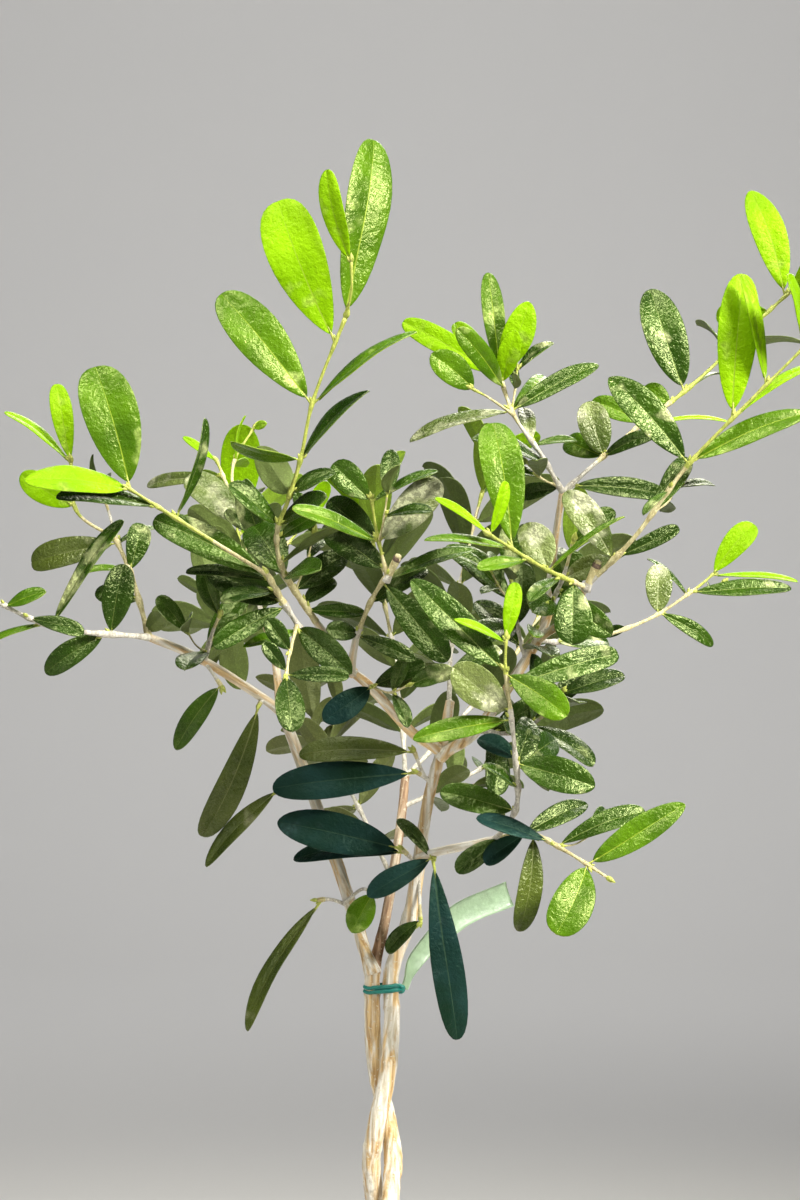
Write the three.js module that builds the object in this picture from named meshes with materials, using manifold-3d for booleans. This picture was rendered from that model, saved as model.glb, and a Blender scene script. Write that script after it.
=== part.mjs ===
// A young olive standard in a plain clay pot: two stems twisted round each other up to a tie,
// boughs that fan out above it, and an open crown of leafy shoots with lime young tips.
// Units are millimetres, +Z is up, and the origin is the centre of the pot's flat underside.
// The front of the tree faces -Y, and +X is to the right as seen from the front.

import * as THREE from "three";
import { mergeVertices } from "three/addons/utils/BufferGeometryUtils.js";
import Module from "manifold-3d";

const wasm = await Module();
wasm.setup();

// Driving dimensions
const CLEARANCE = 0.3; // between neighbouring solids
const SHORTEST_EDGE = 0.04;
const POT = {
  height: 152,
  baseRadius: 52,
  neckRadius: 72, // of the wall, just under the rim
  rimRadius: 80,
  rimHeight: 30,
  wall: 8,
  floor: 10,
  lip: 2.5, // rounding of the rim
  sides: 40,
};
const SOIL = {
  level: 138, // at the trunk
  fall: 3, // from there to the wall
  flat: 16, // radius of the flat middle
  gap: 0.4, // to the pot's wall
};
const TRUNK = {
  twistPitch: 88, // height of one full turn of the two stems
  untwisted: 316, // above this height the stems run side by side
  ease: 12, // height over which the twist sets in
  baseRadius: 4.3,
  topRadius: 3.0,
  flare: 1.5, // extra radius at the ground
  flareHeight: 16,
  buried: 8, // of the curve only: the stems are cut flat at the ground
  apart: 0.5, // between the two stems
  coils: 13, // points along the twisted part
  sides: 8,
};
const STEMS = [
  { name: "trunk_left", turn: Math.PI, top: 330, leader: [], tipRadius: 2.9 },
  { name: "trunk_right", turn: 0, top: 329, tipRadius: 1.7,
    leader: [[10, -2, 350], [15, -7, 384], [20, -11, 405], [23, -12, 421]] },
];
const TIE = {
  height: 323,
  width: 3,
  thickness: 0.9,
  slack: 0.5, // between the band and the stems
  knot: [1.6, 2.2, 2.2], // half sizes
  corners: 8, // round each end of the band
  tail: [[7.6, 0, 323], [12, 4, 333], [26, 13, 346], [44, 22, 353]], // the loose end, from the knot outwards
  tailWidth: [3, 9],
  tailThickness: 0.63,
};
const LEAF = {
  thickness: 0.022, // share of its length, at the middle
  droop: 0.1, // how far the tip curls back, as a share of the length
  fold: 0.12, // rise of the two halves from the midrib
  petiole: 0.07, // share of the length with no blade
  outline: [0.75, 0.45], // a larger number is a narrower end: the foot, the tip
  corners: [0.27, 0.6, 0.91], // along each edge
  middle: 0.55,
  clearFrom: 0.16, // a blade keeps clear of others from here on
  margin: 1.2, // free space on both sides of a blade
  tries: 7,
  sunk: 0.45, // of the shoot's radius, below its axis
  footPoints: 14, // of the points that test a blade's room, those near its foot
  footReach: 8, // and how close to its foot they may come to a shoot
};
const LIGHT = { outward: 0.8, up: 0.6, sideways: 0.4 }; // what the blades turn to
const GROWTH = {
  phase: 34, // degrees of play round the shoot
  lean: 22, // degrees of play in the angle to the shoot
  turn: 0.4, // play in how far a blade turns to the light
  mostTurn: 0.95,
  length: [0.86, 1.14],
  width: [0.9, 1.14],
  loosen: 0.4, // more play for each further try
  shrink: 0.05, // and less length
};
const TWIG = { step: 9, sides: 3, reach: 1.1 };
const BOUGH = { step: 9, sides: 6 };

// Boughs: each is one tapering limb. The first point of a path is moved onto the limb that carries it.
const BOUGHS = [
  { name: "bough_left", on: "trunk_left", radius: [2.5, 1.9],
    path: [[-5, 0, 328], [-15, 4, 364], [-29, 0, 404], [-35, -6, 420]] },
  { name: "bough_back", on: "trunk_left", radius: [2.1, 1.6],
    path: [[-1, 3, 328], [2, 14, 350], [6, 32, 374], [8, 46, 392]] },
  { name: "bough_centre", on: "trunk_right", radius: [1.9, 1.6],
    path: [[19, -10, 404], [10, -21, 411], [-3, -40, 426], [-11, -48, 433]] },
  { name: "bough_right", on: "trunk_right", radius: [2.2, 1.6],
    path: [[20, -10, 402], [31, -20, 411], [45, -29, 431], [54, -33, 448], [56, -35, 466]] },
  { name: "bough_right_low", on: "trunk_right", radius: [1.7, 1.4],
    path: [[11, -4, 369], [18, -20, 371], [29, -40, 375], [37, -54, 378]] },
  { name: "bough_left_arm", on: "bough_left", radius: [1.8, 1.4],
    path: [[-35, -5, 417], [-44, -16, 425], [-60, -35, 436], [-75, -50, 443]] },
  { name: "bough_left_back", on: "bough_left", radius: [1.6, 1.3],
    path: [[-35, -5, 418], [-37, 10, 436], [-42, 26, 450]] },
  { name: "bough_centre_front", on: "bough_centre", radius: [1.5, 1.3],
    path: [[-9, -46, 431], [-18, -52, 438], [-24, -56, 443]] },
  { name: "bough_centre_grey", on: "bough_centre", radius: [1.5, 1.3],
    path: [[-10, -47, 432], [-15, -48, 440], [-21, -52, 448]] },
  { name: "bough_centre_upright", on: "bough_centre", radius: [1.4, 1.2],
    path: [[-10, -47, 432], [-8, -55, 443]] },
  { name: "bough_right_front", on: "bough_right", radius: [1.5, 1.3],
    path: [[53, -32, 442], [60, -50, 449], [65, -66, 459]] },
  { name: "bough_right_top", on: "bough_right", radius: [1.4, 1.2],
    path: [[56, -34, 460], [57, -38, 475], [59, -42, 490]] },
];

// Masses of foliage. Each grows from one stem, the first shoot. Its other shoots spring from those before them.
// A row of a shoot gives:
// leaf, the length of a full-grown leaf, and slim, its width as a share of that;
// size, the sizes at the foot and at the tip of the shoot as shares of leaf;
// at, where along the shoot the first and the last pair stand;
// roll, the place of the tip's pair in degrees round the shoot: on an upright one 0 is to the right, 90 away;
// cross, the turn from pair to pair;
// lean, the angle from shoot to leaf at the foot and at the tip, and lop, how much less the first of a pair
// leans and how much more the second;
// face, how far the blades turn to the light;
// young, the number of young pairs, and only, the half of a pair that has stayed on.
// The photograph's own pixels: their size at the trunk, and the camera that took them.
const VIEW = { pixel: 0.34, x: 6.1, z: 455, distance: 1000, centre: [400, 600], shifts: [0, 3, -3, 6, -6, 9, -9] };
const USUAL = {
  at: [0.16, 0.985],
  size: [0.75, 0.75],
  cross: 75,
  lean: [54, 32],
  lop: 0,
  face: 0.72,
  young: 0,
};
const MASSES = [
  { name: "foliage_north", seed: 11, on: "bough_centre_grey", shoots: [
    { path: [[-21, -52, 448], [-31, -60, 464], [-33, -65, 476], [-29, -72, 487]], radius: [1.2, 1.0],
      pairs: 2, at: [0.3, 0.75], leaf: 26, slim: 0.46, roll: 20, size: [0.9, 1],
      seen: [[0.62, 320, 508, 22, 6, 30], [0.4, 345, 512, 20, 10, 120], [0.2, 348, 550, 30, -4, 10],
        [0.12, 335, 577, 20, 3, 20], [0.08, 365, 608, 18, 6, 30]] },
    { path: [[-29, -72, 487], [-25, -75, 500], [-21, -78, 518], [-11, -82, 543]], radius: [1.0, 0.7],
      pairs: 0,
      seen: [[0.9, 277, 199, 62, 5, 0], [0.99, 391, 137, 54, -3, 30], [0.64, 226, 289, 54, 6, 15],
        [0.64, 402, 315, 36, 3, 70], [0.31, 356, 380, 34, 2, 65], [0.31, 230, 455, 30, 8, -70],
        [0.05, 331, 466, 26, 4, 50], [0.03, 262, 452, 34, -12, 180]] },
    { path: [[-11, -82, 543], [-9, -86, 551], [-9, -87, 560]], radius: [0.7, 0.5],
      pairs: 0,
      seen: [[0.95, 319, 170, 27, 2, -25]] },
  ] },
  { name: "foliage_left_high", seed: 23, on: "bough_centre_grey", shoots: [
    { path: [[-21, -52, 448], [-40, -38, 474], [-50, -18, 490], [-56, -2, 502]], radius: [1.2, 0.7],
      pairs: 2, at: [0.3, 0.55], leaf: 28, slim: 0.42, roll: 20, size: [0.9, 0.6], young: 0,
      seen: [[0.42, 188, 470, 36, -3, 20], [0.38, 226, 508, 18, -5, 20], [0.85, 135, 478, 16, -20, 20],
        [1.0, 184, 432, 10, -2, 30]] },
    { path: [[-50, -18, 490], [-50, -4, 502], [-44, 8, 514]], radius: [0.8, 0.6],
      pairs: 1, at: [0.5, 0.5], leaf: 26, slim: 0.36, roll: 70, young: 1,
      seen: [[1.0, 263, 423, 10, 0, 20]] },
  ] },
  { name: "foliage_left_front", seed: 37, on: "bough_centre_front", shoots: [
    { path: [[-24, -56, 443], [-31, -61, 454], [-36, -65, 463]], radius: [1.3, 1.1],
      pairs: 1, at: [0.7, 0.7], leaf: 24, slim: 0.5, roll: 10, size: [0.9, 1],
      seen: [[0.1, 243, 638, 18, 8, 50], [0.45, 214, 641, 26, 10, 20], [0.5, 205, 566, 38, 2, 10],
        [0.9, 184, 563, 14, -8, 30]] },
    { path: [[-36, -65, 463], [-52, -72, 473], [-68, -76, 483], [-79, -79, 490]], radius: [1.0, 0.7],
      pairs: 0,
      seen: [[0.0, 156, 514, 36, 8, 15], [0.58, 221, 424, 22, 0, 65], [0.72, 59, 483, 30, 6, 50],
        [0.98, 97, 365, 60, 4, 10], [0.98, 28, 468, 36, 8, 40]] },
    { path: [[-27, -58, 447], [-29, -66, 438], [-30, -69, 431]], radius: [0.8, 0.6],
      pairs: 0,
      seen: [[0.98, 345, 671, 20, 8, 30], [0.98, 293, 723, 32, 10, 10], [0.05, 346, 669, 32, 14, 0],
        [0.45, 268, 619, 22, 4, 10], [0.9, 266, 643, 18, 2, 20]] },
  ] },
  { name: "foliage_left_upright", seed: 41, on: "bough_left_arm", shoots: [
    { path: [[-75, -50, 443], [-81, -42, 462], [-87, -36, 475]], radius: [1.2, 1.0],
      pairs: 0,
      seen: [[0.58, 143, 521, 26, -2, 10], [0.6, 81, 565, 12, 4, 55], [0.95, 24, 557, 34, -6, 20],
        [0.95, 157, 519, 14, -2, 50], [0.3, 92, 590, 22, -2, 10], [0.05, 166, 612, 22, -4, 180]] },
    { path: [[-87, -36, 475], [-100, -34, 484], [-102, -34, 500]], radius: [0.9, 0.6],
      pairs: 0,
      seen: [[0.55, 19, 474, 30, 2, 0], [1.0, 12, 402, 16, 0, 55], [1.0, 60, 383, 24, 0, 20]] },
    { path: [[-87, -36, 475], [-89, -34, 482], [-91, -32, 488]], radius: [0.8, 0.6],
      pairs: 1, leaf: 22, slim: 0.42, roll: 80 },
  ] },
  { name: "foliage_left_arm", seed: 53, on: "bough_left_arm", shoots: [
    { path: [[-75, -50, 443], [-101, -70, 446], [-119, -79, 454], [-136, -85, 467]], radius: [1.3, 0.7],
      pairs: 3, at: [0.74, 1], leaf: 23, slim: 0.44, roll: 50, lean: [58, 35], young: 1,
      seen: [[0.16, 43, 671, 28, 4, 10], [0.14, 126, 564, 34, 2, 15], [0.38, 108, 513, 22, 4, 40],
        [0.5, 84, 628, 20, 3, 30], [0.42, -15, 634, 14, 4, 60], [0.64, 41, 587, 20, 6, 40]] },
  ] },
  { name: "foliage_centre", seed: 61, on: "bough_centre_upright", shoots: [
    { path: [[-8, -55, 443], [-3, -61, 455], [2, -66, 463]], radius: [1.1, 0.9],
      pairs: 1, at: [0.45, 0.45], leaf: 24, slim: 0.46, roll: 10, size: [0.9, 1],
      seen: [[0.85, 449, 658, 36, 6, 10], [0.9, 468, 538, 22, 4, 50], [0.03, 416, 656, 20, 4, 20],
        [0.06, 330, 628, 22, 2, 20]] },
    { path: [[2, -66, 463], [-1, -68, 475], [-3, -70, 487]], radius: [0.8, 0.6],
      pairs: 0,
      seen: [[0.43, 436, 478, 40, 4, 15], [0.43, 306, 500, 22, 12, 45], [0.47, 324, 496, 34, -8, 0],
        [0.06, 324, 518, 36, -2, 10], [0.97, 335, 463, 32, 4, 10], [0.97, 432, 461, 20, 2, 60]] },
    { path: [[2, -66, 463], [6, -69, 468]], radius: [0.8, 0.8],
      pairs: 0 },
  ] },
  { name: "foliage_centre_low", seed: 71, on: "bough_centre", shoots: [
    { path: [[-4, -41, 427], [-3, -47, 427]], radius: [1.0, 0.7],
      pairs: 0,
      seen: [[1.0, 327, 718, 30, 10, 0], [1.0, 421, 661, 22, 6, 20], [0.8, 453, 667, 26, 8, 25]] },
  ] },
  { name: "foliage_left_mid", seed: 83, on: "bough_left_arm", shoots: [
    { path: [[-58, -33, 435], [-55, -44, 444], [-52, -52, 450]], radius: [1.0, 0.7],
      pairs: 2, leaf: 23, slim: 0.42, roll: 0, size: [0.9, 1],
      seen: [[0.3, 232, 611, 18, 2, 40]] },
    { path: [[-52, -27, 430], [-53, -31, 427]], radius: [0.9, 0.8],
      pairs: 0,
      seen: [[1.0, 173, 748, 24, 4, 10]] },
  ] },
  { name: "foliage_left_hanging", seed: 97, on: "bough_left_arm", shoots: [
    { path: [[-40, -11, 422], [-41, -14, 420]], radius: [1.1, 0.8],
      pairs: 0,
      seen: [[0.9, 209, 843, 34, 0, 20]] },
  ] },
  { name: "foliage_left_lower", seed: 101, on: "bough_left", shoots: [
    { path: [[-27, 1, 397], [-31, -4, 395], [-35, -7, 391]], radius: [1.1, 0.8],
      pairs: 0,
      seen: [[0.95, 197, 858, 24, 4, 40]] },
  ] },
  { name: "foliage_stem_left", seed: 113, on: "bough_left", shoots: [
    { path: [[-11, 3, 350], [-17, 1, 353], [-22, 0, 353]], radius: [1.0, 0.8],
      pairs: 0,
      seen: [[0.85, 230, 1020, 26, 6, 50]] },
    { path: [[-12, 1, 353], [-7, -4, 357], [-3, -6, 356]], radius: [0.9, 0.8],
      pairs: 0,
      seen: [[1.0, 351, 932, 30, 4, 10]] },
  ] },
  { name: "foliage_stem_upper", seed: 127, on: "trunk_right", shoots: [
    { path: [[16, -8, 394], [12, -12, 397]], radius: [1.2, 0.8],
      pairs: 0,
      seen: [[1.0, 273, 783, 40, 6, 15]] },
    { path: [[14, -10, 396], [11, -14, 404]], radius: [0.9, 0.8],
      pairs: 0,
      seen: [[1.0, 299, 745, 30, 2, 30]] },
  ] },
  { name: "foliage_stem_front", seed: 131, on: "trunk_right", shoots: [
    { path: [[11, -4, 366], [7, -9, 371]], radius: [1.2, 0.8],
      pairs: 0,
      seen: [[1.0, 279, 818, 44, 4, 15], [0.8, 290, 846, 26, -12, 40]] },
  ] },
  { name: "foliage_stem_low", seed: 149, on: "trunk_right", shoots: [
    { path: [[11, -4, 364], [15, -12, 368], [17, -18, 369]], radius: [1.2, 0.8],
      pairs: 0,
      seen: [[1.0, 466, 1040, 36, 8, 15], [1.0, 366, 890, 28, 6, 30], [0.9, 401, 817, 16, 2, 30]] },
    { path: [[9, -2, 346], [13, -8, 347]], radius: [0.9, 0.8],
      pairs: 0,
      seen: [[1.0, 384, 950, 20, 2, 30]] },
  ] },
  { name: "foliage_right_low", seed: 151, on: "bough_right_low", shoots: [
    { path: [[37, -54, 378], [47, -66, 381], [58, -72, 376], [71, -77, 368]], radius: [1.2, 0.7],
      pairs: 0,
      seen: [[0.38, 525, 931, 28, 8, 15], [0.85, 561, 928, 46, 16, 0], [0.85, 681, 801, 32, 6, 20],
        [0.6, 644, 804, 26, 0, 30], [0.53, 482, 811, 22, 6, 40], [0.04, 454, 868, 26, 4, 30],
        [0.3, 480, 860, 24, -10, 30], [0.3, 592, 797, 24, -10, 20]] },
  ] },
  { name: "foliage_right_riser", seed: 163, on: "bough_right_low", shoots: [
    { path: [[37, -54, 378], [43, -70, 390], [42, -80, 408], [39, -86, 432], [39, -88, 443]],
      radius: [1.3, 0.6],
      pairs: 1, at: [0.34, 0.34], leaf: 29, slim: 0.38, roll: 20, cross: 55, size: [0.75, 0.6], young: 0,
      seen: [[0.22, 442, 789, 30, 4, 15], [0.45, 595, 783, 38, 6, 15], [0.47, 478, 733, 24, -4, 30],
        [0.44, 534, 712, 30, -6, 10], [0.42, 566, 733, 32, -14, 0], [0.6, 414, 732, 26, 6, 25],
        [0.62, 457, 670, 42, 4, 0], [0.76, 417, 577, 38, 6, 15], [0.75, 564, 711, 36, 12, 10],
        [0.7, 622, 647, 30, -6, 15], [0.97, 519, 582, 20, 0, 15], [0.97, 461, 613, 14, 2, 55]] },
  ] },
  { name: "foliage_right_front", seed: 173, on: "bough_right_front", shoots: [
    { path: [[65, -66, 459], [80, -76, 475], [95, -82, 496], [110, -86, 512], [131, -89, 533]],
      radius: [1.2, 0.6],
      pairs: 1, at: [1, 1], leaf: 43, slim: 0.34, roll: 10, cross: 10, lean: [58, 14], lop: 20,
      size: [0.75, 0.8], face: 0.9, young: 1,
      seen: [[0.14, 569, 490, 34, 4, 10], [0.16, 679, 524, 18, 2, 15], [0.42, 641, 509, 12, 3, 50],
        [0.34, 690, 452, 24, -6, 10], [0.52, 616, 374, 40, 6, 15], [0.53, 806, 403, 28, 4, 25],
        [0.74, 748, 271, 44, 2, 5], [0.74, 815, 348, 16, 4, 50], [0.87, 757, 272, 20, -6, 40]] },
  ] },
  { name: "foliage_right_inner", seed: 181, on: "bough_right_front", shoots: [
    { path: [[65, -66, 459], [51, -80, 465], [34, -92, 475]], radius: [1.1, 0.6],
      pairs: 1, at: [0.3, 0.3], leaf: 34, slim: 0.36, roll: 20, cross: 60, size: [0.4, 0.6], young: 0,
      seen: [[1.0, 440, 491, 12, 0, 40], [1.0, 511, 483, 16, 2, 30], [0.8, 495, 419, 46, -2, 5],
        [0.8, 429, 527, 16, 6, 55], [0.65, 481, 561, 18, 10, 40], [0.45, 526, 519, 38, -4, 10],
        [0.45, 614, 506, 10, 6, 60], [0.15, 574, 640, 42, 10, 5]] },
  ] },
  { name: "foliage_right_top", seed: 191, on: "bough_right_top", shoots: [
    { path: [[59, -42, 490], [52, -46, 502], [43, -46, 515], [38, -42, 530]], radius: [1.1, 0.7],
      pairs: 1, at: [0.25, 0.25], leaf: 31, slim: 0.38, roll: 20, size: [0.8, 0.8], young: 0,
      seen: [[0.95, 404, 316, 28, 0, 10], [0.95, 490, 267, 24, -4, 5], [0.95, 531, 304, 34, -2, 10],
        [0.97, 453, 314, 22, -6, 10], [0.9, 515, 333, 24, 8, 0], [0.86, 466, 332, 26, 14, 15],
        [0.7, 595, 356, 24, 2, 30], [0.7, 545, 366, 18, -4, 20], [0.7, 407, 425, 26, 2, 55],
        [0.42, 577, 434, 14, 0, 50], [0.45, 524, 400, 18, -8, 10], [0.05, 516, 492, 20, -6, 20]] },
    { path: [[43, -46, 515], [35, -52, 520], [29, -55, 523]], radius: [0.7, 0.5],
      pairs: 0,
      seen: [[0.9, 435, 354, 34, 4, 10]] },
  ] },
  { name: "foliage_right_long", seed: 199, on: "bough_right_top", shoots: [
    { path: [[59, -42, 490], [82, -32, 510], [105, -24, 528], [131, -15, 553], [158, -8, 577]],
      radius: [1.1, 0.6],
      pairs: 3, at: [0.6, 1], leaf: 34, slim: 0.38, roll: 30, cross: 50, size: [0.7, 0.8], face: 0.82,
      young: 2,
      seen: [[0.15, 590, 399, 36, 0, 10], [0.15, 560, 434, 28, -4, 10], [0.15, 649, 431, 18, 3, 30],
        [0.3, 591, 397, 24, -3, 10], [0.28, 730, 407, 8, -6, 50], [0.45, 654, 284, 46, -2, 10],
        [0.4, 640, 385, 26, -6, 10], [0.47, 722, 362, 14, -6, 60], [0.79, 756, 186, 38, 0, 10],
        [0.74, 712, 316, 28, -8, 0], [0.03, 681, 490, 24, -10, 20]] },
  ] },
  { name: "foliage_right_centre", seed: 211, on: "bough_right", shoots: [
    { path: [[55, -34, 452], [59, -44, 462], [62, -52, 474]], radius: [1.0, 0.7],
      pairs: 2, leaf: 23, slim: 0.56, roll: 10, size: [0.9, 0.8],
      seen: [[0.3, 611, 634, 30, 6, 0], [0.5, 612, 558, 26, -2, 10]] },
  ] },
  { name: "foliage_right_heart", seed: 223, on: "bough_right", shoots: [
    { path: [[48, -30, 435], [44, -40, 448], [42, -48, 462]], radius: [1.0, 0.7],
      pairs: 4, leaf: 26, slim: 0.44, roll: 70, size: [0.9, 0.8] },
  ] },
  { name: "foliage_right_under", seed: 227, on: "bough_right", shoots: [
    { path: [[31, -20, 412], [42, -28, 411], [52, -34, 416], [59, -38, 425]], radius: [1.1, 0.7],
      pairs: 5, leaf: 26, slim: 0.42, roll: 30, size: [0.8, 0.9] },
  ] },
  { name: "foliage_right_far", seed: 239, on: "bough_right", shoots: [
    { path: [[52, -32, 441], [68, -4, 441], [92, 24, 448], [111, 44, 459], [121, 52, 467]],
      radius: [1.1, 0.6],
      pairs: 1, at: [0.1, 0.1], leaf: 30, slim: 0.38, roll: 60, size: [0.8, 0.85], young: 0,
      seen: [[0.55, 661, 562, 30, -2, 10], [0.56, 718, 643, 18, -2, 20], [0.42, 604, 633, 14, 2, 30],
        [0.72, 792, 578, 22, 2, 35], [0.7, 654, 552, 12, -2, 60], [0.9, 753, 521, 28, 0, 15],
        [0.9, 799, 569, 10, 0, 50]] },
  ] },
  { name: "foliage_back_centre", seed: 251, on: "bough_back", shoots: [
    { path: [[8, 46, 392], [6, 62, 424], [0, 74, 456], [-6, 80, 488]], radius: [1.3, 0.7],
      pairs: 8, leaf: 33, slim: 0.38, roll: 30, young: 1 },
  ] },
  { name: "foliage_back_right", seed: 257, on: "bough_back", shoots: [
    { path: [[8, 46, 392], [28, 64, 412], [52, 82, 440], [70, 96, 474]], radius: [1.3, 0.7],
      pairs: 8, leaf: 33, slim: 0.38, roll: 60, young: 1 },
  ] },
  { name: "foliage_back_low", seed: 263, on: "bough_back", shoots: [
    { path: [[3, 20, 358], [-9, 46, 382], [-21, 74, 402], [-30, 96, 418]], radius: [1.3, 0.7],
      pairs: 6, leaf: 30, slim: 0.36, roll: 40, young: 1 },
  ] },
  { name: "foliage_back_left", seed: 269, on: "bough_left_back", shoots: [
    { path: [[-42, 26, 450], [-47, 40, 464], [-52, 54, 478], [-52, 62, 492]], radius: [1.2, 0.7],
      pairs: 6, leaf: 31, slim: 0.4, roll: 20, young: 2 },
    { path: [[-49, 45, 469], [-36, 58, 474], [-28, 68, 484]], radius: [0.8, 0.6],
      pairs: 3, leaf: 26, slim: 0.4, roll: 70, young: 1 },
  ] },
  { name: "foliage_back_left_out", seed: 271, on: "bough_left_back", shoots: [
    { path: [[-42, 26, 450], [-55, 46, 446], [-62, 68, 448], [-62, 88, 458]], radius: [1.2, 0.7],
      pairs: 6, leaf: 29, slim: 0.4, roll: 50, young: 1 },
  ] },
  { name: "foliage_back_high", seed: 281, on: "trunk_right", shoots: [
    { path: [[22, -12, 418], [24, 6, 444], [30, 24, 474], [38, 34, 504]], radius: [1.3, 0.7],
      pairs: 8, leaf: 31, slim: 0.4, roll: 10, young: 1 },
  ] },
  { name: "foliage_back_side", seed: 283, on: "bough_back", shoots: [
    { path: [[7, 38, 382], [26, 48, 390], [44, 60, 400], [58, 74, 412]], radius: [1.2, 0.7],
      pairs: 6, leaf: 30, slim: 0.38, roll: 50 },
  ] },
];

const COLOURS = {
  clay: { color: 0xa9603f, roughness: 0.85, metalness: 0 },
  compost: { color: 0x2e2119, roughness: 1, metalness: 0 },
  bark: { color: 0xb7aa90, roughness: 0.8, metalness: 0 },
  tie: { color: 0x0f7a63, roughness: 0.45, metalness: 0 },
  foliage: { color: 0x4a6a2c, roughness: 0.4, metalness: 0 },
  youngFoliage: { color: 0x86b52a, roughness: 0.45, metalness: 0 },
};

// Small helpers
const DEGREES = Math.PI / 180;
const UP = new THREE.Vector3(0, 0, 1);
const AWAY = new THREE.Vector3(0, 1, 0);
const point = (p) => new THREE.Vector3(...p);
const mix = (a, b, t) => a + (b - a) * t;

// A small seeded random source, from 0 to 1.
function randomFrom(seed) {
  let state = seed >>> 0;
  return () => {
    state = (state + 0x6d2b79f5) >>> 0;
    let r = Math.imul(state ^ (state >>> 15), state | 1);
    r ^= r + Math.imul(r ^ (r >>> 7), r | 61);
    return ((r ^ (r >>> 14)) >>> 0) / 4294967296;
  };
}

// Paths: each is a smooth curve through a few points, sampled in even steps of its parameter.
class Limb {
  constructor(name, curve, radiusAt, step, sides) {
    this.name = name;
    this.curve = curve;
    this.radiusAt = radiusAt;
    this.sides = sides;
    this.rings = Math.max(2, Math.ceil(curve.getLength() / step)) + 1;
    this.spots = Array.from({ length: this.rings }, (_, i) => this.at(i / (this.rings - 1)));
  }

  // The point, direction and two cross directions at t: side lies across the front view, and back points away.
  at(t) {
    const along = this.curve.getTangent(t);
    const side = new THREE.Vector3().crossVectors(AWAY, along).normalize();
    const back = new THREE.Vector3().crossVectors(along, side);
    return { p: this.curve.getPoint(t), along, side, back, radius: this.radiusAt(t) };
  }

  nearest(p) {
    let best = null;
    for (let i = 0; i <= 200; i++) {
      const q = this.curve.getPoint(i / 200);
      if (!best || q.distanceTo(p) < best.distanceTo(p)) best = q;
    }
    return best;
  }

  // A closed tapering tube, grown by extra millimetres all round where a neighbour is to be cut clear of it.
  solid(extra = 0) {
    const tube = new THREE.CylinderGeometry(1, 1, 1, this.sides, this.rings - 1);
    const place = tube.getAttribute("position");
    for (let i = 0; i < place.count; i++) {
      const share = 0.5 - place.getY(i);
      const ring = this.spots[Math.round(share * (this.rings - 1))];
      const size = ring.radius + extra;
      const end = share < 1e-6 ? -extra : share > 1 - 1e-6 ? extra : 0;
      const p = ring.p
        .clone()
        .addScaledVector(ring.side, place.getX(i) * size)
        .addScaledVector(ring.back, place.getZ(i) * size)
        .addScaledVector(ring.along, end);
      place.setXYZ(i, p.x, p.y, p.z);
    }
    return solidOf(tube);
  }
}

function solidOf(geometry) {
  const bare = new THREE.BufferGeometry().setAttribute("position", geometry.getAttribute("position"));
  bare.setIndex(geometry.index);
  const merged = mergeVertices(bare, 1e-4);
  const made = new wasm.Manifold(
    new wasm.Mesh({
      numProp: 3,
      vertProperties: merged.attributes.position.array,
      triVerts: new Uint32Array(merged.index.array),
    }),
  );
  if (made.volume() > 0) return made;
  const turned = merged.index.array.slice();
  for (let i = 0; i < turned.length; i += 3) [turned[i + 1], turned[i + 2]] = [turned[i + 2], turned[i + 1]];
  return new wasm.Manifold(
    new wasm.Mesh({
      numProp: 3,
      vertProperties: merged.attributes.position.array,
      triVerts: new Uint32Array(turned),
    }),
  );
}

// The main body of a joined or cut solid, without loose scraps, sealed hollows or edges too short to matter.
function largestOf(solid) {
  return solid.simplify(SHORTEST_EDGE).decompose().reduce((a, b) => (b.volume() > a.volume() ? b : a));
}

const joined = (solids) => solids.reduce((a, b) => a.add(b));

function meshOf(name, solid, colour) {
  const m = solid.getMesh();
  const geometry = new THREE.BufferGeometry();
  const place = new Float32Array(m.numVert * 3);
  for (let i = 0; i < m.numVert; i++) {
    place.set(m.vertProperties.subarray(i * m.numProp, i * m.numProp + 3), i * 3);
  }
  geometry.setAttribute("position", new THREE.BufferAttribute(place, 3));
  geometry.setIndex(new THREE.BufferAttribute(new Uint32Array(m.triVerts), 1));
  geometry.computeVertexNormals();
  const mesh = new THREE.Mesh(geometry, new THREE.MeshStandardMaterial(COLOURS[colour]));
  mesh.name = name;
  return mesh;
}

const smoothCurve = (points) => new THREE.CatmullRomCurve3(points, false, "catmullrom", 0.5);

function stemRadius(z) {
  const up = (z - SOIL.level) / (TIE.height - SOIL.level);
  const flare = TRUNK.flare * Math.exp(-(z - SOIL.level) / TRUNK.flareHeight);
  return mix(TRUNK.baseRadius, TRUNK.topRadius, Math.min(1, up)) + flare;
}

// A point on the axis of one of the two twisted stems. They all but touch, and run side by side at the tie.
function coil(turn, z) {
  const below = Math.max(0, TRUNK.untwisted - z);
  const twist = (below * below) / (below + TRUNK.ease);
  const angle = turn - (twist / TRUNK.twistPitch) * 2 * Math.PI;
  const reach = stemRadius(z) + TRUNK.apart / 2;
  return new THREE.Vector3(Math.cos(angle) * reach, Math.sin(angle) * reach, z);
}

function makeStem({ name, turn, top, leader, tipRadius }) {
  const low = SOIL.level - TRUNK.buried;
  const heights = Array.from({ length: TRUNK.coils }, (_, i) => mix(low, top, i / (TRUNK.coils - 1)));
  const curve = smoothCurve([...heights.map((z) => coil(turn, z)), ...leader.map(point)]);
  const end = curve.getPoint(1).z;
  const radiusAt = (t) => {
    const { z } = curve.getPoint(t);
    const above = (z - TIE.height) / (end - TIE.height);
    return above < 0 ? stemRadius(z) : mix(TRUNK.topRadius, tipRadius, above);
  };
  return new Limb(name, curve, radiusAt, BOUGH.step, TRUNK.sides);
}

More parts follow.
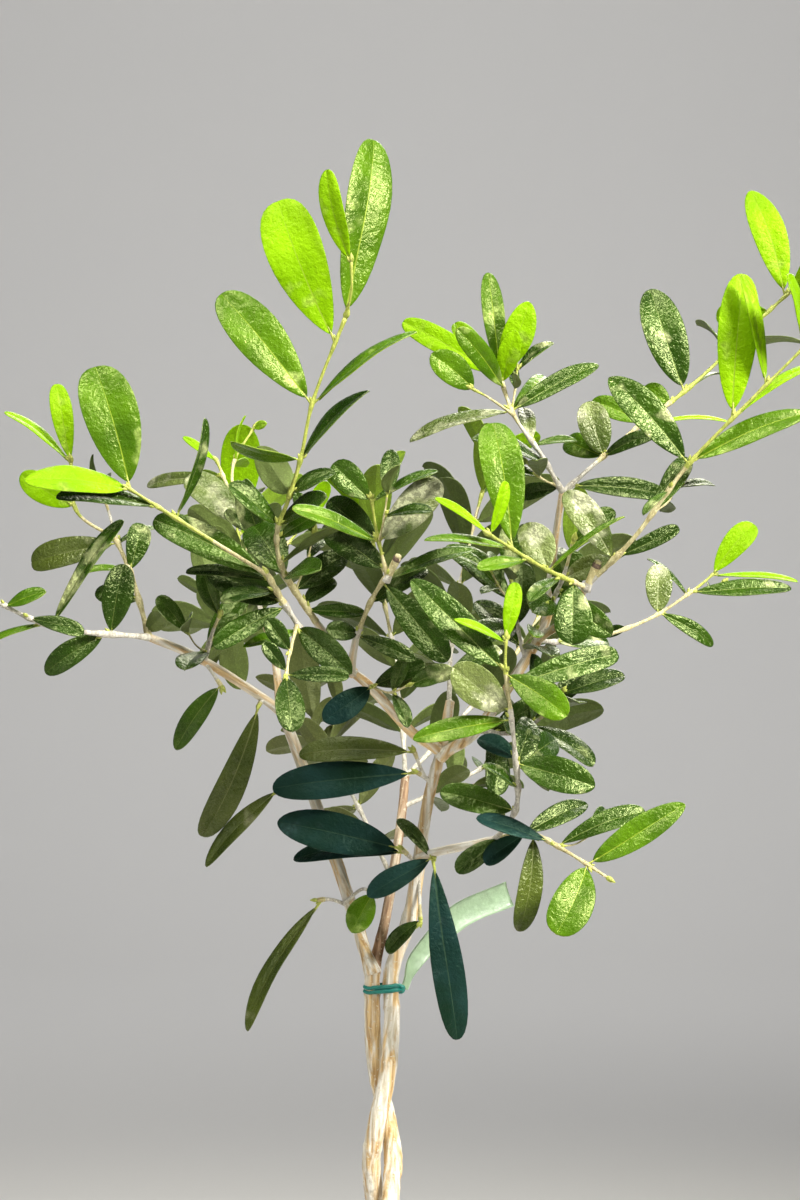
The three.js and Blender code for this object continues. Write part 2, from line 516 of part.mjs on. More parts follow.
function limbFrom(spec, carriers, style) {
  const points = spec.path.map(point);
  const from = points[0].clone();
  const spots = carriers.map((limb) => limb.nearest(from));
  points[0] = spots.reduce((a, b) => (b.distanceTo(from) < a.distanceTo(from) ? b : a));
  const curve = smoothCurve(points);
  return new Limb(spec.name, curve, (t) => mix(...spec.radius, t), style.step, style.sides);
}

// Leaves. A blade is a surface over u, from the foot to the tip, and v, from one edge to the other.
class Leaf {
  constructor(foot, along, face, length, width) {
    Object.assign(this, { foot, along, face, length, width });
    this.across = new THREE.Vector3().crossVectors(along, face);
    this.middle = this.at(LEAF.middle, 0);
    this.points = [];
    for (let i = 0; i <= 10; i++) {
      for (let j = -3; j <= 3; j++) this.points.push(this.at(mix(LEAF.clearFrom, 1, i / 10), j / 3));
    }
  }

  // Narrow at the foot, broadest past the middle and round at the tip.
  halfWidth(u) {
    const blade = Math.min(1, Math.max(0, (u - LEAF.petiole) / (1 - LEAF.petiole)));
    const [foot, tip] = LEAF.outline;
    const broadest = foot / (foot + tip);
    const most = Math.pow(broadest, foot) * Math.pow(1 - broadest, tip);
    return ((this.width / 2) * Math.pow(blade, foot) * Math.pow(1 - blade, tip)) / most;
  }

  rise(u, v, half) {
    return -LEAF.droop * this.length * u * u + LEAF.fold * Math.abs(v) * half;
  }

  at(u, v, lift = 0) {
    const half = this.halfWidth(Math.min(u, 1));
    return this.foot
      .clone()
      .addScaledVector(this.along, u * this.length)
      .addScaledVector(this.across, v * half)
      .addScaledVector(this.face, this.rise(u, v, half) + lift);
  }

  // True where p lies within the margin of the blade.
  holds(p) {
    const from = p.clone().sub(this.foot);
    const u = from.dot(this.along) / this.length;
    const slack = LEAF.margin / this.length;
    if (u < -slack || u > 1 + slack) return false;
    const half = this.halfWidth(Math.min(Math.max(u, 0), 1));
    const v = from.dot(this.across);
    if (Math.abs(v) > half + LEAF.margin) return false;
    const share = half > 0 ? Math.min(1, Math.abs(v) / half) : 0;
    return Math.abs(from.dot(this.face) - this.rise(u, share, half)) < LEAF.margin;
  }

  touches(other) {
    if (this.middle.distanceTo(other.middle) > 0.6 * (this.length + other.length)) return false;
    return this.points.some((p) => other.holds(p)) || other.points.some((p) => this.holds(p));
  }

  // An eight-sided blade with a raised middle above and below: 16 faces.
  solid() {
    const half = (LEAF.thickness * this.length) / 2;
    const right = LEAF.corners.map((u) => this.at(u, 1));
    const left = LEAF.corners.map((u) => this.at(u, -1)).reverse();
    const rim = [this.at(0, 0), ...right, this.at(1, 0), ...left];
    const all = [...rim, this.at(LEAF.middle, 0, half), this.at(LEAF.middle, 0, -half)];
    const top = rim.length;
    const faces = rim.flatMap((_, i) => [i, (i + 1) % top, top, (i + 1) % top, i, top + 1]);
    const place = new Float32Array(all.flatMap((p) => p.toArray()));
    const geometry = new THREE.BufferGeometry();
    geometry.setAttribute("position", new THREE.BufferAttribute(place, 3));
    geometry.setIndex(faces);
    return solidOf(geometry);
  }
}

// Away from the trunk, and more to the front and the back than to the sides.
const outward = (p) => new THREE.Vector3(LIGHT.sideways * p.x, p.y, 0).normalize();

// One try at a leaf: where it leaves the shoot, and which way its upper face looks.
function leafAt(spot, phase, lean, length, width, turn) {
  const away = spot.side
    .clone()
    .multiplyScalar(Math.cos(phase))
    .addScaledVector(spot.back, Math.sin(phase));
  const along = spot.along
    .clone()
    .multiplyScalar(Math.cos(lean))
    .addScaledVector(away, Math.sin(lean))
    .normalize();
  const light = outward(spot.p).multiplyScalar(LIGHT.outward).addScaledVector(UP, LIGHT.up);
  const own = spot.along.clone().addScaledVector(along, -spot.along.dot(along)).normalize();
  light.addScaledVector(along, -light.dot(along)).normalize();
  const face = own.multiplyScalar(1 - turn).addScaledVector(light, turn);
  face.addScaledVector(along, -face.dot(along)).normalize();
  const foot = spot.p.clone().addScaledVector(along, -LEAF.sunk * spot.radius);
  return new Leaf(foot, along, face, length, width);
}

// A leaf seen in the photograph: its row gives its place on the shoot, its tip and width in the picture's pixels,
// how much nearer its tip is than its foot, and the roll away from facing the viewer.
function leafSeen(spot, [, column, row, width, nearer, roll], shift) {
  const y = spot.p.y - nearer - shift;
  const scale = VIEW.pixel * (1 + y / VIEW.distance);
  const across = column - VIEW.centre[0];
  const down = row - VIEW.centre[1];
  const tip = new THREE.Vector3(VIEW.x + across * scale, y, VIEW.z - down * scale);
  const way = tip.sub(spot.p);
  const along = way.clone().normalize();
  const front = along.clone().multiplyScalar(along.y).sub(AWAY).normalize();
  const side = new THREE.Vector3().crossVectors(along, front);
  if (side.z + 0.5 * side.x < 0) side.negate();
  const turned = roll * DEGREES;
  const face = front.multiplyScalar(Math.cos(turned)).addScaledVector(side, Math.sin(turned));
  const foot = spot.p.clone().addScaledVector(along, -LEAF.sunk * spot.radius);
  return new Leaf(foot, along, face, way.length(), width * scale);
}

// A leaf is clear if it meets no other leaf, and no limb or shoot beyond its own foot.
function isClear(leaf, placed, limbs) {
  if (placed.some((other) => leaf.touches(other))) return false;
  const reach = leaf.length * 0.6;
  return !limbs.some((limb) => {
    if (limb.centre.distanceTo(leaf.middle) > limb.span + reach) return false;
    return limb.spots.some((spot, i) => {
      if (i === 0) return false;
      const line = new THREE.Line3(limb.spots[i - 1].p, spot.p);
      const closest = new THREE.Vector3();
      const room = spot.radius + TWIG.reach;
      return leaf.points.some((p, k) => {
        line.closestPointToPoint(p, true, closest);
        const ownFoot = k < LEAF.footPoints && closest.distanceTo(leaf.foot) < LEAF.footReach;
        return !ownFoot && closest.distanceTo(p) < room;
      });
    });
  });
}

// A seen leaf that isn't clear is moved to the front or the back a little, and left out in the end.
function placeSeen(row, shoot, placed, limbs) {
  const leaves = [];
  for (const mark of row.seen ?? []) {
    const spot = shoot.at(mark[0]);
    const choices = VIEW.shifts.map((shift) => leafSeen(spot, mark, shift));
    const leaf = choices.find((choice) => isClear(choice, placed, limbs));
    if (!leaf) continue;
    placed.push(leaf);
    leaves.push(leaf);
  }
  return leaves;
}

// The rule of growth: pairs of leaves cross each other along the shoot, and grow larger up to its last but one.
// A leaf that isn't clear is tried again with more play, and left out in the end.
function growLeaves(row, shoot, random, placed, limbs) {
  const spec = { ...USUAL, ...row };
  const leaves = [];
  for (let k = 0; k < spec.pairs; k++) {
    const last = k === spec.pairs - 1;
    const share = spec.pairs > 1 ? k / (spec.pairs - 1) : 1;
    const grown = spec.pairs > 2 ? k / (spec.pairs - 2) : 1;
    const size = last ? spec.size[1] : mix(spec.size[0], 1, grown);
    const spread = mix(...spec.lean, share * share);
    const spot = shoot.at(mix(...spec.at, share));
    for (let half = 0; half < 2; half++) {
      if (half !== (spec.only ?? half)) continue;
      for (let n = 0; n < LEAF.tries; n++) {
        const play = (amount) => (random() - 0.5) * amount;
        const loose = 0.5 + GROWTH.loosen * n;
        const place = spec.roll + spec.cross * (spec.pairs - 1 - k) + 180 * half;
        const phase = place + play(GROWTH.phase * loose);
        const lean = spread + (half ? spec.lop : -spec.lop) + play(GROWTH.lean * loose);
        const length = spec.leaf * size * mix(...GROWTH.length, random()) * (1 - GROWTH.shrink * n);
        const turn = Math.min(GROWTH.mostTurn, spec.face + play(GROWTH.turn));
        const width = length * spec.slim * mix(...GROWTH.width, random());
        const leaf = leafAt(spot, phase * DEGREES, lean * DEGREES, length, width, turn);
        if (!isClear(leaf, placed, limbs)) continue;
        placed.push(leaf);
        leaves.push(leaf);
        break;
      }
    }
  }
  return leaves;
}

function withBounds(limb) {
  const box = new THREE.Box3().setFromPoints(limb.spots.map((s) => s.p));
  limb.centre = box.getCenter(new THREE.Vector3());
  limb.span = box.getSize(new THREE.Vector3()).length() / 2;
  return limb;
}

function near(a, b) {
  const one = a.boundingBox();
  const two = b.boundingBox();
  return [0, 1, 2].every((i) => one.min[i] < two.max[i] + 1 && two.min[i] < one.max[i] + 1);
}

// Cuts a solid clear of the limbs and shoots made before it.
function cutClear(solid, others) {
  let made = solid;
  for (const other of others) {
    const grown = other.solid(CLEARANCE);
    if (near(made, grown)) made = made.subtract(grown);
  }
  return largestOf(made);
}

const lathed = (profile) => solidOf(
  new THREE.LatheGeometry(profile.map(([r, z]) => new THREE.Vector2(r, z)), POT.sides).rotateX(Math.PI / 2),
);

// The made pieces. The pot's inner wall is a straight cone, which the compost follows.
const innerRadius = (z) => {
  const share = (z - POT.floor) / (POT.height - POT.lip - POT.floor);
  return mix(POT.baseRadius - POT.wall, POT.rimRadius - POT.wall, share);
};

function makePot() {
  const { height, baseRadius, neckRadius, rimRadius, rimHeight, wall, floor, lip } = POT;
  const under = height - rimHeight;
  return lathed([
    [0, 0], [baseRadius - 2, 0], [baseRadius, 2], [neckRadius, under], [rimRadius - 2, under + 1],
    [rimRadius, under + 5], [rimRadius, height - lip], [rimRadius - lip, height],
    [rimRadius - wall + lip, height], [rimRadius - wall, height - lip], [innerRadius(floor), floor], [0, floor],
  ]);
}

function makeSoil() {
  const edge = SOIL.level - SOIL.fall;
  const low = POT.floor + CLEARANCE;
  return lathed([
    [0, low], [innerRadius(low) - SOIL.gap, low], [innerRadius(edge) - SOIL.gap, edge],
    [SOIL.flat, SOIL.level], [0, SOIL.level],
  ]);
}

// The band lies round both stems, with a knot to one side and a loose end.
function makeTie(stems) {
  const radius = stemRadius(TIE.height);
  const apart = radius + TRUNK.apart / 2;
  const inner = radius + TIE.slack;
  const ring = around(new THREE.Shape(), apart, inner + TIE.thickness);
  ring.holes.push(around(new THREE.Path(), apart, inner));
  const outline = new THREE.ExtrudeGeometry(ring, {
    depth: TIE.width,
    bevelEnabled: false,
    curveSegments: TIE.corners,
  });
  const band = solidOf(outline.translate(0, 0, TIE.height - TIE.width / 2));
  const side = apart + inner + TIE.thickness;
  const knot = solidOf(new THREE.SphereGeometry(1, 8, 6).scale(...TIE.knot).translate(side, 0, TIE.height));
  const tail = solidOf(ribbon(smoothCurve(TIE.tail.map(point)), TIE.tailWidth, TIE.tailThickness));
  return cutClear(band.add(knot).add(tail), stems);
}

// The outline round two circles that stand side by side.
function around(outline, apart, radius) {
  return outline
    .absarc(apart, 0, radius, -Math.PI / 2, Math.PI / 2)
    .absarc(-apart, 0, radius, Math.PI / 2, (3 * Math.PI) / 2)
    .closePath();
}

// A flat strip along a curve, standing on its edge, that widens from its start.
function ribbon(curve, [from, to], thickness) {
  const steps = 14;
  const widest = 0.625; // share of the curve from which on it keeps its full width
  const box = new THREE.BoxGeometry(1, 1, 1, 1, steps, 1);
  const place = box.getAttribute("position");
  for (let i = 0; i < place.count; i++) {
    const t = place.getY(i) + 0.5;
    const along = curve.getTangent(t);
    const flat = new THREE.Vector3().crossVectors(along, UP).normalize();
    const high = new THREE.Vector3().crossVectors(flat, along);
    const p = curve.getPoint(t)
      .addScaledVector(flat, place.getX(i) * thickness)
      .addScaledVector(high, place.getZ(i) * mix(from, to, Math.min(1, t / widest)));
    place.setXYZ(i, p.x, p.y, p.z);
  }
  return box;
}

// Putting it together
const tree = new THREE.Group();
const stems = STEMS.map((row) => withBounds(makeStem(row)));
const limbs = [...stems];
const byName = new Map(limbs.map((limb) => [limb.name, limb]));
const solids = new Map();
const cutLevel = SOIL.level + CLEARANCE; // of the stems
const block = 60;
const ground = solidOf(new THREE.BoxGeometry(block, block, block).translate(0, 0, cutLevel - block / 2));
solids.set("trunk_left", largestOf(stems[0].solid().subtract(ground)));
solids.set("trunk_right", cutClear(stems[1].solid().subtract(ground), [stems[0]]));
for (const spec of BOUGHS) {
  const limb = withBounds(limbFrom(spec, [byName.get(spec.on)], BOUGH));
  solids.set(spec.name, cutClear(limb.solid(), limbs));
  limbs.push(limb);
  byName.set(spec.name, limb);
}

// All shoots come first, so that every leaf can keep clear of them.
const groups = MASSES.map((mass) => {
  const shoots = [];
  for (const spec of mass.shoots) {
    const carriers = shoots.length ? shoots : [byName.get(mass.on)];
    shoots.push(withBounds(limbFrom({ ...spec, name: mass.name }, carriers, TWIG)));
  }
  return { mass, shoots };
});
const woody = [...limbs, ...groups.flatMap((g) => g.shoots)];
const placed = [];
for (const group of groups) {
  group.seen = group.mass.shoots.flatMap((spec, i) => placeSeen(spec, group.shoots[i], placed, woody));
}
let before = [...limbs];
for (const { mass, shoots, seen } of groups) {
  const random = randomFrom(mass.seed);
  const grown = mass.shoots.flatMap((spec, i) => growLeaves(spec, shoots[i], random, placed, woody));
  const leaves = [...seen, ...grown];
  const twigs = joined(shoots.map((shoot) => shoot.solid()));
  const bare = cutClear(twigs, before);
  solids.set(mass.name, largestOf(joined([bare, ...leaves.map((leaf) => leaf.solid())])));
  before = [...before, ...shoots];
}

solids.set("pot", makePot());
solids.set("soil", makeSoil());
solids.set("tie", makeTie(stems));

const colourOf = (name) => {
  if (name.startsWith("foliage")) {
    const mass = MASSES.find((m) => m.name === name);
    return mass.shoots.some((s) => (s.young ?? 0) > 1) ? "youngFoliage" : "foliage";
  }
  return { pot: "clay", soil: "compost", tie: "tie" }[name] ?? "bark";
};
for (const [name, solid] of solids) tree.add(meshOf(name, solid, colourOf(name)));

export default tree;
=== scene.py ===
# A young olive standard in a plain clay pot, dressed for rendering.
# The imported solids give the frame. The limbs, shoots and leaves are grown again here by the same rule and
# seeds, with bark relief, fine leaves and finer twigs, and each piece stands for the solids it replaces.
# Rows and sizes are in millimetres, as in the solids. Meshes are made in metres.
import math

import bpy
import numpy as np
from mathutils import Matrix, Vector


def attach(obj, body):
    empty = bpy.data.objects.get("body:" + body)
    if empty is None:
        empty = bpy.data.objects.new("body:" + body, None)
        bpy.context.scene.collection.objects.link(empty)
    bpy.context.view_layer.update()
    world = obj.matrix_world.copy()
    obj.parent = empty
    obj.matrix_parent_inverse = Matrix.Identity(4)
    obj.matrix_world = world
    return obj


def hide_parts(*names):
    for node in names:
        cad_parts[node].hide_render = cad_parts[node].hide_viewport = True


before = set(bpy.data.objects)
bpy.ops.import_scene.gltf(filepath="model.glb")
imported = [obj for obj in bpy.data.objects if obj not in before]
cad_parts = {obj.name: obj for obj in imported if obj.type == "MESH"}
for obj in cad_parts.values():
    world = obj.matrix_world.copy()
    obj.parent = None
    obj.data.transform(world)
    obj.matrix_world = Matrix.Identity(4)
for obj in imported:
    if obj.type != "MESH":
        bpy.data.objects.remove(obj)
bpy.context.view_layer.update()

# Sizes
MM = 0.001
POT = dict(height=152, base=52, neck=72, rim=80, rim_height=30, wall=8, floor=10, lip=2.5)
SOIL = dict(level=138, fall=3, flat=16, gap=0.2)
TRUNK = dict(pitch=88, untwisted=316, ease=12, base=4.3, top=3.0, flare=1.5, flare_height=16, buried=8,
    apart=0.5, coils=13)
TIE = dict(height=323, width=3, hug=-0.4, strand=0.7, tilt=0.06, tail_width=(3, 9), tail_thickness=0.63,
    widest=0.625, tail=[(7.6, 0, 323), (12, 4, 333), (26, 13, 346), (44, 22, 353)])
STEMS = [
    dict(name="trunk_left", turn=math.pi, top=330, tip=2.9, leader=[]),
    dict(name="trunk_right", turn=0, top=329, tip=1.7,
         leader=[(10, -2, 350), (15, -7, 384), (20, -11, 405), (23, -12, 421)]),
]
LEAF = dict(droop=0.1, fold=0.12, petiole=0.07, outline=(0.75, 0.45), margin=1.2, tries=7, sunk=0.45,
    foot_points=14, foot_reach=8, middle=0.55, clear_from=0.16, near=0.6)
LIGHT = dict(outward=0.8, up=0.6, sideways=0.4)
GROWTH = dict(phase=34, lean=22, turn=0.4, most_turn=0.95, length=(0.86, 1.14), width=(0.9, 1.14),
    loose=0.5, loosen=0.4, shrink=0.05)
STEP = 9
REACH = 1.1
# The photograph's own pixels: their size at the trunk, and the camera that took them
VIEW = dict(pixel=0.34, x=6.1, z=455, distance=1000, centre=(400, 600), shifts=(0, 3, -3, 6, -6, 9, -9))
USUAL = dict(at=(0.16, 0.985), size=(0.75, 0.75), cross=75, lean=(54, 32), lop=0, face=0.72, young=0)

# Boughs: the name, what carries it, its radius at both ends, and its path
BOUGHS = [
    ("bough_left", "trunk_left", (2.5, 1.9),
     [(-5, 0, 328), (-15, 4, 364), (-29, 0, 404), (-35, -6, 420)]),
    ("bough_back", "trunk_left", (2.1, 1.6),
     [(-1, 3, 328), (2, 14, 350), (6, 32, 374), (8, 46, 392)]),
    ("bough_centre", "trunk_right", (1.9, 1.6),
     [(19, -10, 404), (10, -21, 411), (-3, -40, 426), (-11, -48, 433)]),
    ("bough_right", "trunk_right", (2.2, 1.6),
     [(20, -10, 402), (31, -20, 411), (45, -29, 431), (54, -33, 448), (56, -35, 466)]),
    ("bough_right_low", "trunk_right", (1.7, 1.4),
     [(11, -4, 369), (18, -20, 371), (29, -40, 375), (37, -54, 378)]),
    ("bough_left_arm", "bough_left", (1.8, 1.4),
     [(-35, -5, 417), (-44, -16, 425), (-60, -35, 436), (-75, -50, 443)]),
    ("bough_left_back", "bough_left", (1.6, 1.3),
     [(-35, -5, 418), (-37, 10, 436), (-42, 26, 450)]),
    ("bough_centre_front", "bough_centre", (1.5, 1.3),
     [(-9, -46, 431), (-18, -52, 438), (-24, -56, 443)]),
    ("bough_centre_grey", "bough_centre", (1.5, 1.3),
     [(-10, -47, 432), (-15, -48, 440), (-21, -52, 448)]),
    ("bough_centre_upright", "bough_centre", (1.4, 1.2),
     [(-10, -47, 432), (-8, -55, 443)]),
    ("bough_right_front", "bough_right", (1.5, 1.3),
     [(53, -32, 442), (60, -50, 449), (65, -66, 459)]),
    ("bough_right_top", "bough_right", (1.4, 1.2),
     [(56, -34, 460), (57, -38, 475), (59, -42, 490)]),
]


# A shoot of a mass: its path, its radius at both ends, its leaves that the photograph shows, and the number
# and looks of its grown pairs. A seen leaf has its place on the shoot, the column and row of its tip, its
# width, how much nearer its tip is than its foot, its roll away from facing the viewer, and its kind.
def spray(path, radius, seen=(), pairs=0, **rule):
    return dict(path=path, radius=radius, seen=seen, pairs=pairs, **rule)


# Seen leaves of the pale kind carry a painted reflection, and those of the blue kind painted shade
MASSES = [
    dict(name="foliage_north", seed=11, on="bough_centre_grey", shoots=[
        spray([(-21, -52, 448), (-31, -60, 464), (-33, -65, 476), (-29, -72, 487)], (1.2, 1.0), [
            (0.62, 320, 508, 22, 6, 30, "mature"), (0.4, 345, 512, 20, 10, 120, "mature"),
            (0.2, 348, 550, 30, -4, 10, "dark"), (0.12, 335, 577, 20, 3, 20, "dark"),
            (0.08, 365, 608, 18, 6, 30, "mature")], skin=(0, 0.75), pairs=2, at=(0.3, 0.75), leaf=26,
            slim=0.46, roll=20, size=(0.9, 1)),
        spray([(-29, -72, 487), (-25, -75, 500), (-21, -78, 518), (-11, -82, 543)], (1.0, 0.7), [
            (0.9, 277, 199, 62, 5, 0, "lime"), (0.99, 391, 137, 54, -3, 30, "bright"),
            (0.64, 226, 289, 54, 6, 15, "bright"), (0.64, 402, 315, 36, 3, 70, "bright"),
            (0.31, 356, 380, 34, 2, 65, "mature"), (0.31, 230, 455, 30, 8, -70, "bright"),
            (0.05, 331, 466, 26, 4, 50, "dark"), (0.03, 262, 452, 34, -12, 180, "mature")], skin=(0, 0)),
        spray([(-11, -82, 543), (-9, -86, 551), (-9, -87, 560)], (0.7, 0.5), [
            (0.95, 319, 170, 27, 2, -25, "lime")], skin=(0, 0)),
    ]),
    dict(name="foliage_left_high", seed=23, on="bough_centre_grey", shoots=[
        spray([(-21, -52, 448), (-40, -38, 474), (-50, -18, 490), (-56, -2, 502)], (1.2, 0.7), [
            (0.42, 188, 470, 36, -3, 20, "pale"), (0.38, 226, 508, 18, -5, 20, "dark"),
            (0.85, 135, 478, 16, -20, 20, "pale"), (1.0, 184, 432, 10, -2, 30, "lime")], skin=(0.5, 0.9),
            pairs=2, at=(0.3, 0.55), leaf=28, slim=0.42, roll=20, size=(0.9, 0.6)),
        spray([(-50, -18, 490), (-50, -4, 502), (-44, 8, 514)], (0.8, 0.6), [
            (1.0, 263, 423, 10, 0, 20, "lime")], skin=(0, 0.5), pairs=1, at=(0.5, 0.5), leaf=26, slim=0.36,
            roll=70, young=1),
    ]),
    dict(name="foliage_left_front", seed=37, on="bough_centre_front", shoots=[
        spray([(-24, -56, 443), (-31, -61, 454), (-36, -65, 463)], (1.3, 1.1), [
            (0.1, 243, 638, 18, 8, 50, "bright"), (0.45, 214, 641, 26, 10, 20, "mature"),
            (0.5, 205, 566, 38, 2, 10, "dark"), (0.9, 184, 563, 14, -8, 30, "dark")], skin=(0.5, 1.1),
            pairs=1, at=(0.7, 0.7), leaf=24, slim=0.5, roll=10, size=(0.9, 1)),
        spray([(-36, -65, 463), (-52, -72, 473), (-68, -76, 483), (-79, -79, 490)], (1.0, 0.7), [
            (0.0, 156, 514, 36, 8, 15, "mature"), (0.58, 221, 424, 22, 0, 65, "mature"),
            (0.72, 59, 483, 30, 6, 50, "dark"), (0.98, 97, 365, 60, 4, 10, "bright"),
            (0.98, 28, 468, 36, 8, 40, "lime")], skin=(0, 0.35)),
        spray([(-27, -58, 447), (-29, -66, 438), (-30, -69, 431)], (0.8, 0.6), [
            (0.98, 345, 671, 20, 8, 30, "dark"), (0.98, 293, 723, 32, 10, 10, "dark"),
            (0.05, 346, 669, 32, 14, 0, "dark"), (0.45, 268, 619, 22, 4, 10, "dark"),
            (0.9, 266, 643, 18, 2, 20, "dark")], skin=(0, 1.1)),
    ]),
    dict(name="foliage_left_upright", seed=41, on="bough_left_arm", shoots=[
        spray([(-75, -50, 443), (-81, -42, 462), (-87, -36, 475)], (1.2, 1.0), [
            (0.58, 143, 521, 26, -2, 10, "mature"), (0.6, 81, 565, 12, 4, 55, "bright"),
            (0.95, 24, 557, 34, -6, 20, "olive"), (0.95, 157, 519, 14, -2, 50, "mature"),
            (0.3, 92, 590, 22, -2, 10, "dark"), (0.05, 166, 612, 22, -4, 180, "mature")], skin=(0, 1.1)),
        spray([(-87, -36, 475), (-100, -34, 484), (-102, -34, 500)], (0.9, 0.6), [
            (0.55, 19, 474, 30, 2, 0, "lime"), (1.0, 12, 402, 16, 0, 55, "lime"),
            (1.0, 60, 383, 24, 0, 20, "lime")], skin=(0, 0.4)),
        spray([(-87, -36, 475), (-89, -34, 482), (-91, -32, 488)], (0.8, 0.6), pairs=1, leaf=22, slim=0.42,
            roll=80),
    ]),
    dict(name="foliage_left_arm", seed=53, on="bough_left_arm", shoots=[
        spray([(-75, -50, 443), (-101, -70, 446), (-119, -79, 454), (-136, -85, 467)], (1.3, 0.7), [
            (0.16, 43, 671, 28, 4, 10, "dark"), (0.14, 126, 564, 34, 2, 15, "dark"),
            (0.38, 108, 513, 22, 4, 40, "mature"), (0.5, 84, 628, 20, 3, 30, "dark"),
            (0.42, -15, 634, 14, 4, 60, "bright"), (0.64, 41, 587, 20, 6, 40, "bright")], skin=(0.7, 1.1),
            pairs=3, at=(0.74, 1), leaf=23, slim=0.44, roll=50, lean=(58, 35), young=1),
    ]),
    dict(name="foliage_centre", seed=61, on="bough_centre_upright", shoots=[
        spray([(-8, -55, 443), (-3, -61, 455), (2, -66, 463)], (1.1, 0.9), [
            (0.85, 449, 658, 36, 6, 10, "dark"), (0.9, 468, 538, 22, 4, 50, "mature"),
            (0.03, 416, 656, 20, 4, 20, "dark"), (0.06, 330, 628, 22, 2, 20, "dark")], skin=(0.1, 1.1),
            pairs=1, at=(0.45, 0.45), leaf=24, slim=0.46, roll=10, size=(0.9, 1)),
        spray([(2, -66, 463), (-1, -68, 475), (-3, -70, 487)], (0.8, 0.6), [
            (0.43, 436, 478, 40, 4, 15, "pale"), (0.43, 306, 500, 22, 12, 45, "bright"),
            (0.47, 324, 496, 34, -8, 0, "dark"), (0.06, 324, 518, 36, -2, 10, "dark"),
            (0.97, 335, 463, 32, 4, 10, "mature"), (0.97, 432, 461, 20, 2, 60, "mature")], skin=(0, 0.25)),
        spray([(2, -66, 463), (6, -69, 468)], (0.8, 0.8)),
    ]),
    dict(name="foliage_centre_low", seed=71, on="bough_centre", shoots=[
        spray([(-4, -41, 427), (-3, -47, 427)], (1.0, 0.7), [
            (1.0, 327, 718, 30, 10, 0, "blue"), (1.0, 421, 661, 22, 6, 20, "dark"),
            (0.8, 453, 667, 26, 8, 25, "olive")]),
    ]),
    dict(name="foliage_left_mid", seed=83, on="bough_left_arm", shoots=[
        spray([(-58, -33, 435), (-55, -44, 444), (-52, -52, 450)], (1.0, 0.7), [
            (0.3, 232, 611, 18, 2, 40, "mature")], pairs=2, leaf=23, slim=0.42, roll=0, size=(0.9, 1)),
        spray([(-52, -27, 430), (-53, -31, 427)], (0.9, 0.8), [
            (1.0, 173, 748, 24, 4, 10, "mature")]),
    ]),
    dict(name="foliage_left_hanging", seed=97, on="bough_left_arm", shoots=[
        spray([(-40, -11, 422), (-41, -14, 420)], (1.1, 0.8), [
            (0.9, 209, 843, 34, 0, 20, "olive")]),
    ]),
    dict(name="foliage_left_lower", seed=101, on="bough_left", shoots=[
        spray([(-27, 1, 397), (-31, -4, 395), (-35, -7, 391)], (1.1, 0.8), [
            (0.95, 197, 858, 24, 4, 40, "olive")]),
    ]),
    dict(name="foliage_stem_left", seed=113, on="bough_left", shoots=[
        spray([(-11, 3, 350), (-17, 1, 353), (-22, 0, 353)], (1.0, 0.8), [
            (0.85, 230, 1020, 26, 6, 50, "olive")]),
        spray([(-12, 1, 353), (-7, -4, 357), (-3, -6, 356)], (0.9, 0.8), [
            (1.0, 351, 932, 30, 4, 10, "bright")]),
    ]),
    # The three low masses by the stem take the blue kind throughout, for the crown's shade: painted shade
    dict(name="foliage_stem_upper", shade="blue", seed=127, on="trunk_right", shoots=[
        spray([(16, -8, 394), (12, -12, 397)], (1.2, 0.8), [
            (1.0, 273, 783, 40, 6, 15, "blue")]),
        spray([(14, -10, 396), (11, -14, 404)], (0.9, 0.8), [
            (1.0, 299, 745, 30, 2, 30, "olive")]),
    ]),
    dict(name="foliage_stem_front", shade="blue", seed=131, on="trunk_right", shoots=[
        spray([(11, -4, 366), (7, -9, 371)], (1.2, 0.8), [
            (1.0, 279, 818, 44, 4, 15, "blue"), (0.8, 290, 846, 26, -12, 40, "blue")]),
    ]),
    dict(name="foliage_stem_low", shade="blue", seed=149, on="trunk_right", shoots=[
        spray([(11, -4, 364), (15, -12, 368), (17, -18, 369)], (1.2, 0.8), [
            (1.0, 466, 1040, 36, 8, 15, "blue"), (1.0, 366, 890, 28, 6, 30, "blue"),
            (0.9, 401, 817, 16, 2, 30, "dark")]),
        spray([(9, -2, 346), (13, -8, 347)], (0.9, 0.8), [
            (1.0, 384, 950, 20, 2, 30, "dark")]),
    ]),
    dict(name="foliage_right_low", seed=151, on="bough_right_low", shoots=[
        spray([(37, -54, 378), (47, -66, 381), (58, -72, 376), (71, -77, 368)], (1.2, 0.7), [
            (0.38, 525, 931, 28, 8, 15, "olive"), (0.85, 561, 928, 46, 16, 0, "bright"),
            (0.85, 681, 801, 32, 6, 20, "bright"), (0.6, 644, 804, 26, 0, 30, "mature"),
            (0.53, 482, 811, 22, 6, 40, "blue"), (0.04, 454, 868, 26, 4, 30, "dark"),
            (0.3, 480, 860, 24, -10, 30, "blue"), (0.3, 592, 797, 24, -10, 20, "dark")], skin=(0.05, 1.1)),
    ]),
    dict(name="foliage_right_riser", seed=163, on="bough_right_low", shoots=[
        spray([(37, -54, 378), (43, -70, 390), (42, -80, 408), (39, -86, 432), (39, -88, 443)], (1.3, 0.6),
            [
            (0.22, 442, 789, 30, 4, 15, "mature"), (0.45, 595, 783, 38, 6, 15, "mature"),
            (0.47, 478, 733, 24, -4, 30, "blue"), (0.44, 534, 712, 30, -6, 10, "dark"),
            (0.42, 566, 733, 32, -14, 0, "mature"), (0.6, 414, 732, 26, 6, 25, "bright"),
            (0.62, 457, 670, 42, 4, 0, "pale"), (0.76, 417, 577, 38, 6, 15, "mature"),
            (0.75, 564, 711, 36, 12, 10, "bright"), (0.7, 622, 647, 30, -6, 15, "mature"),
            (0.97, 519, 582, 20, 0, 15, "lime"), (0.97, 461, 613, 14, 2, 55, "lime")], skin=(0.62, 0.74),
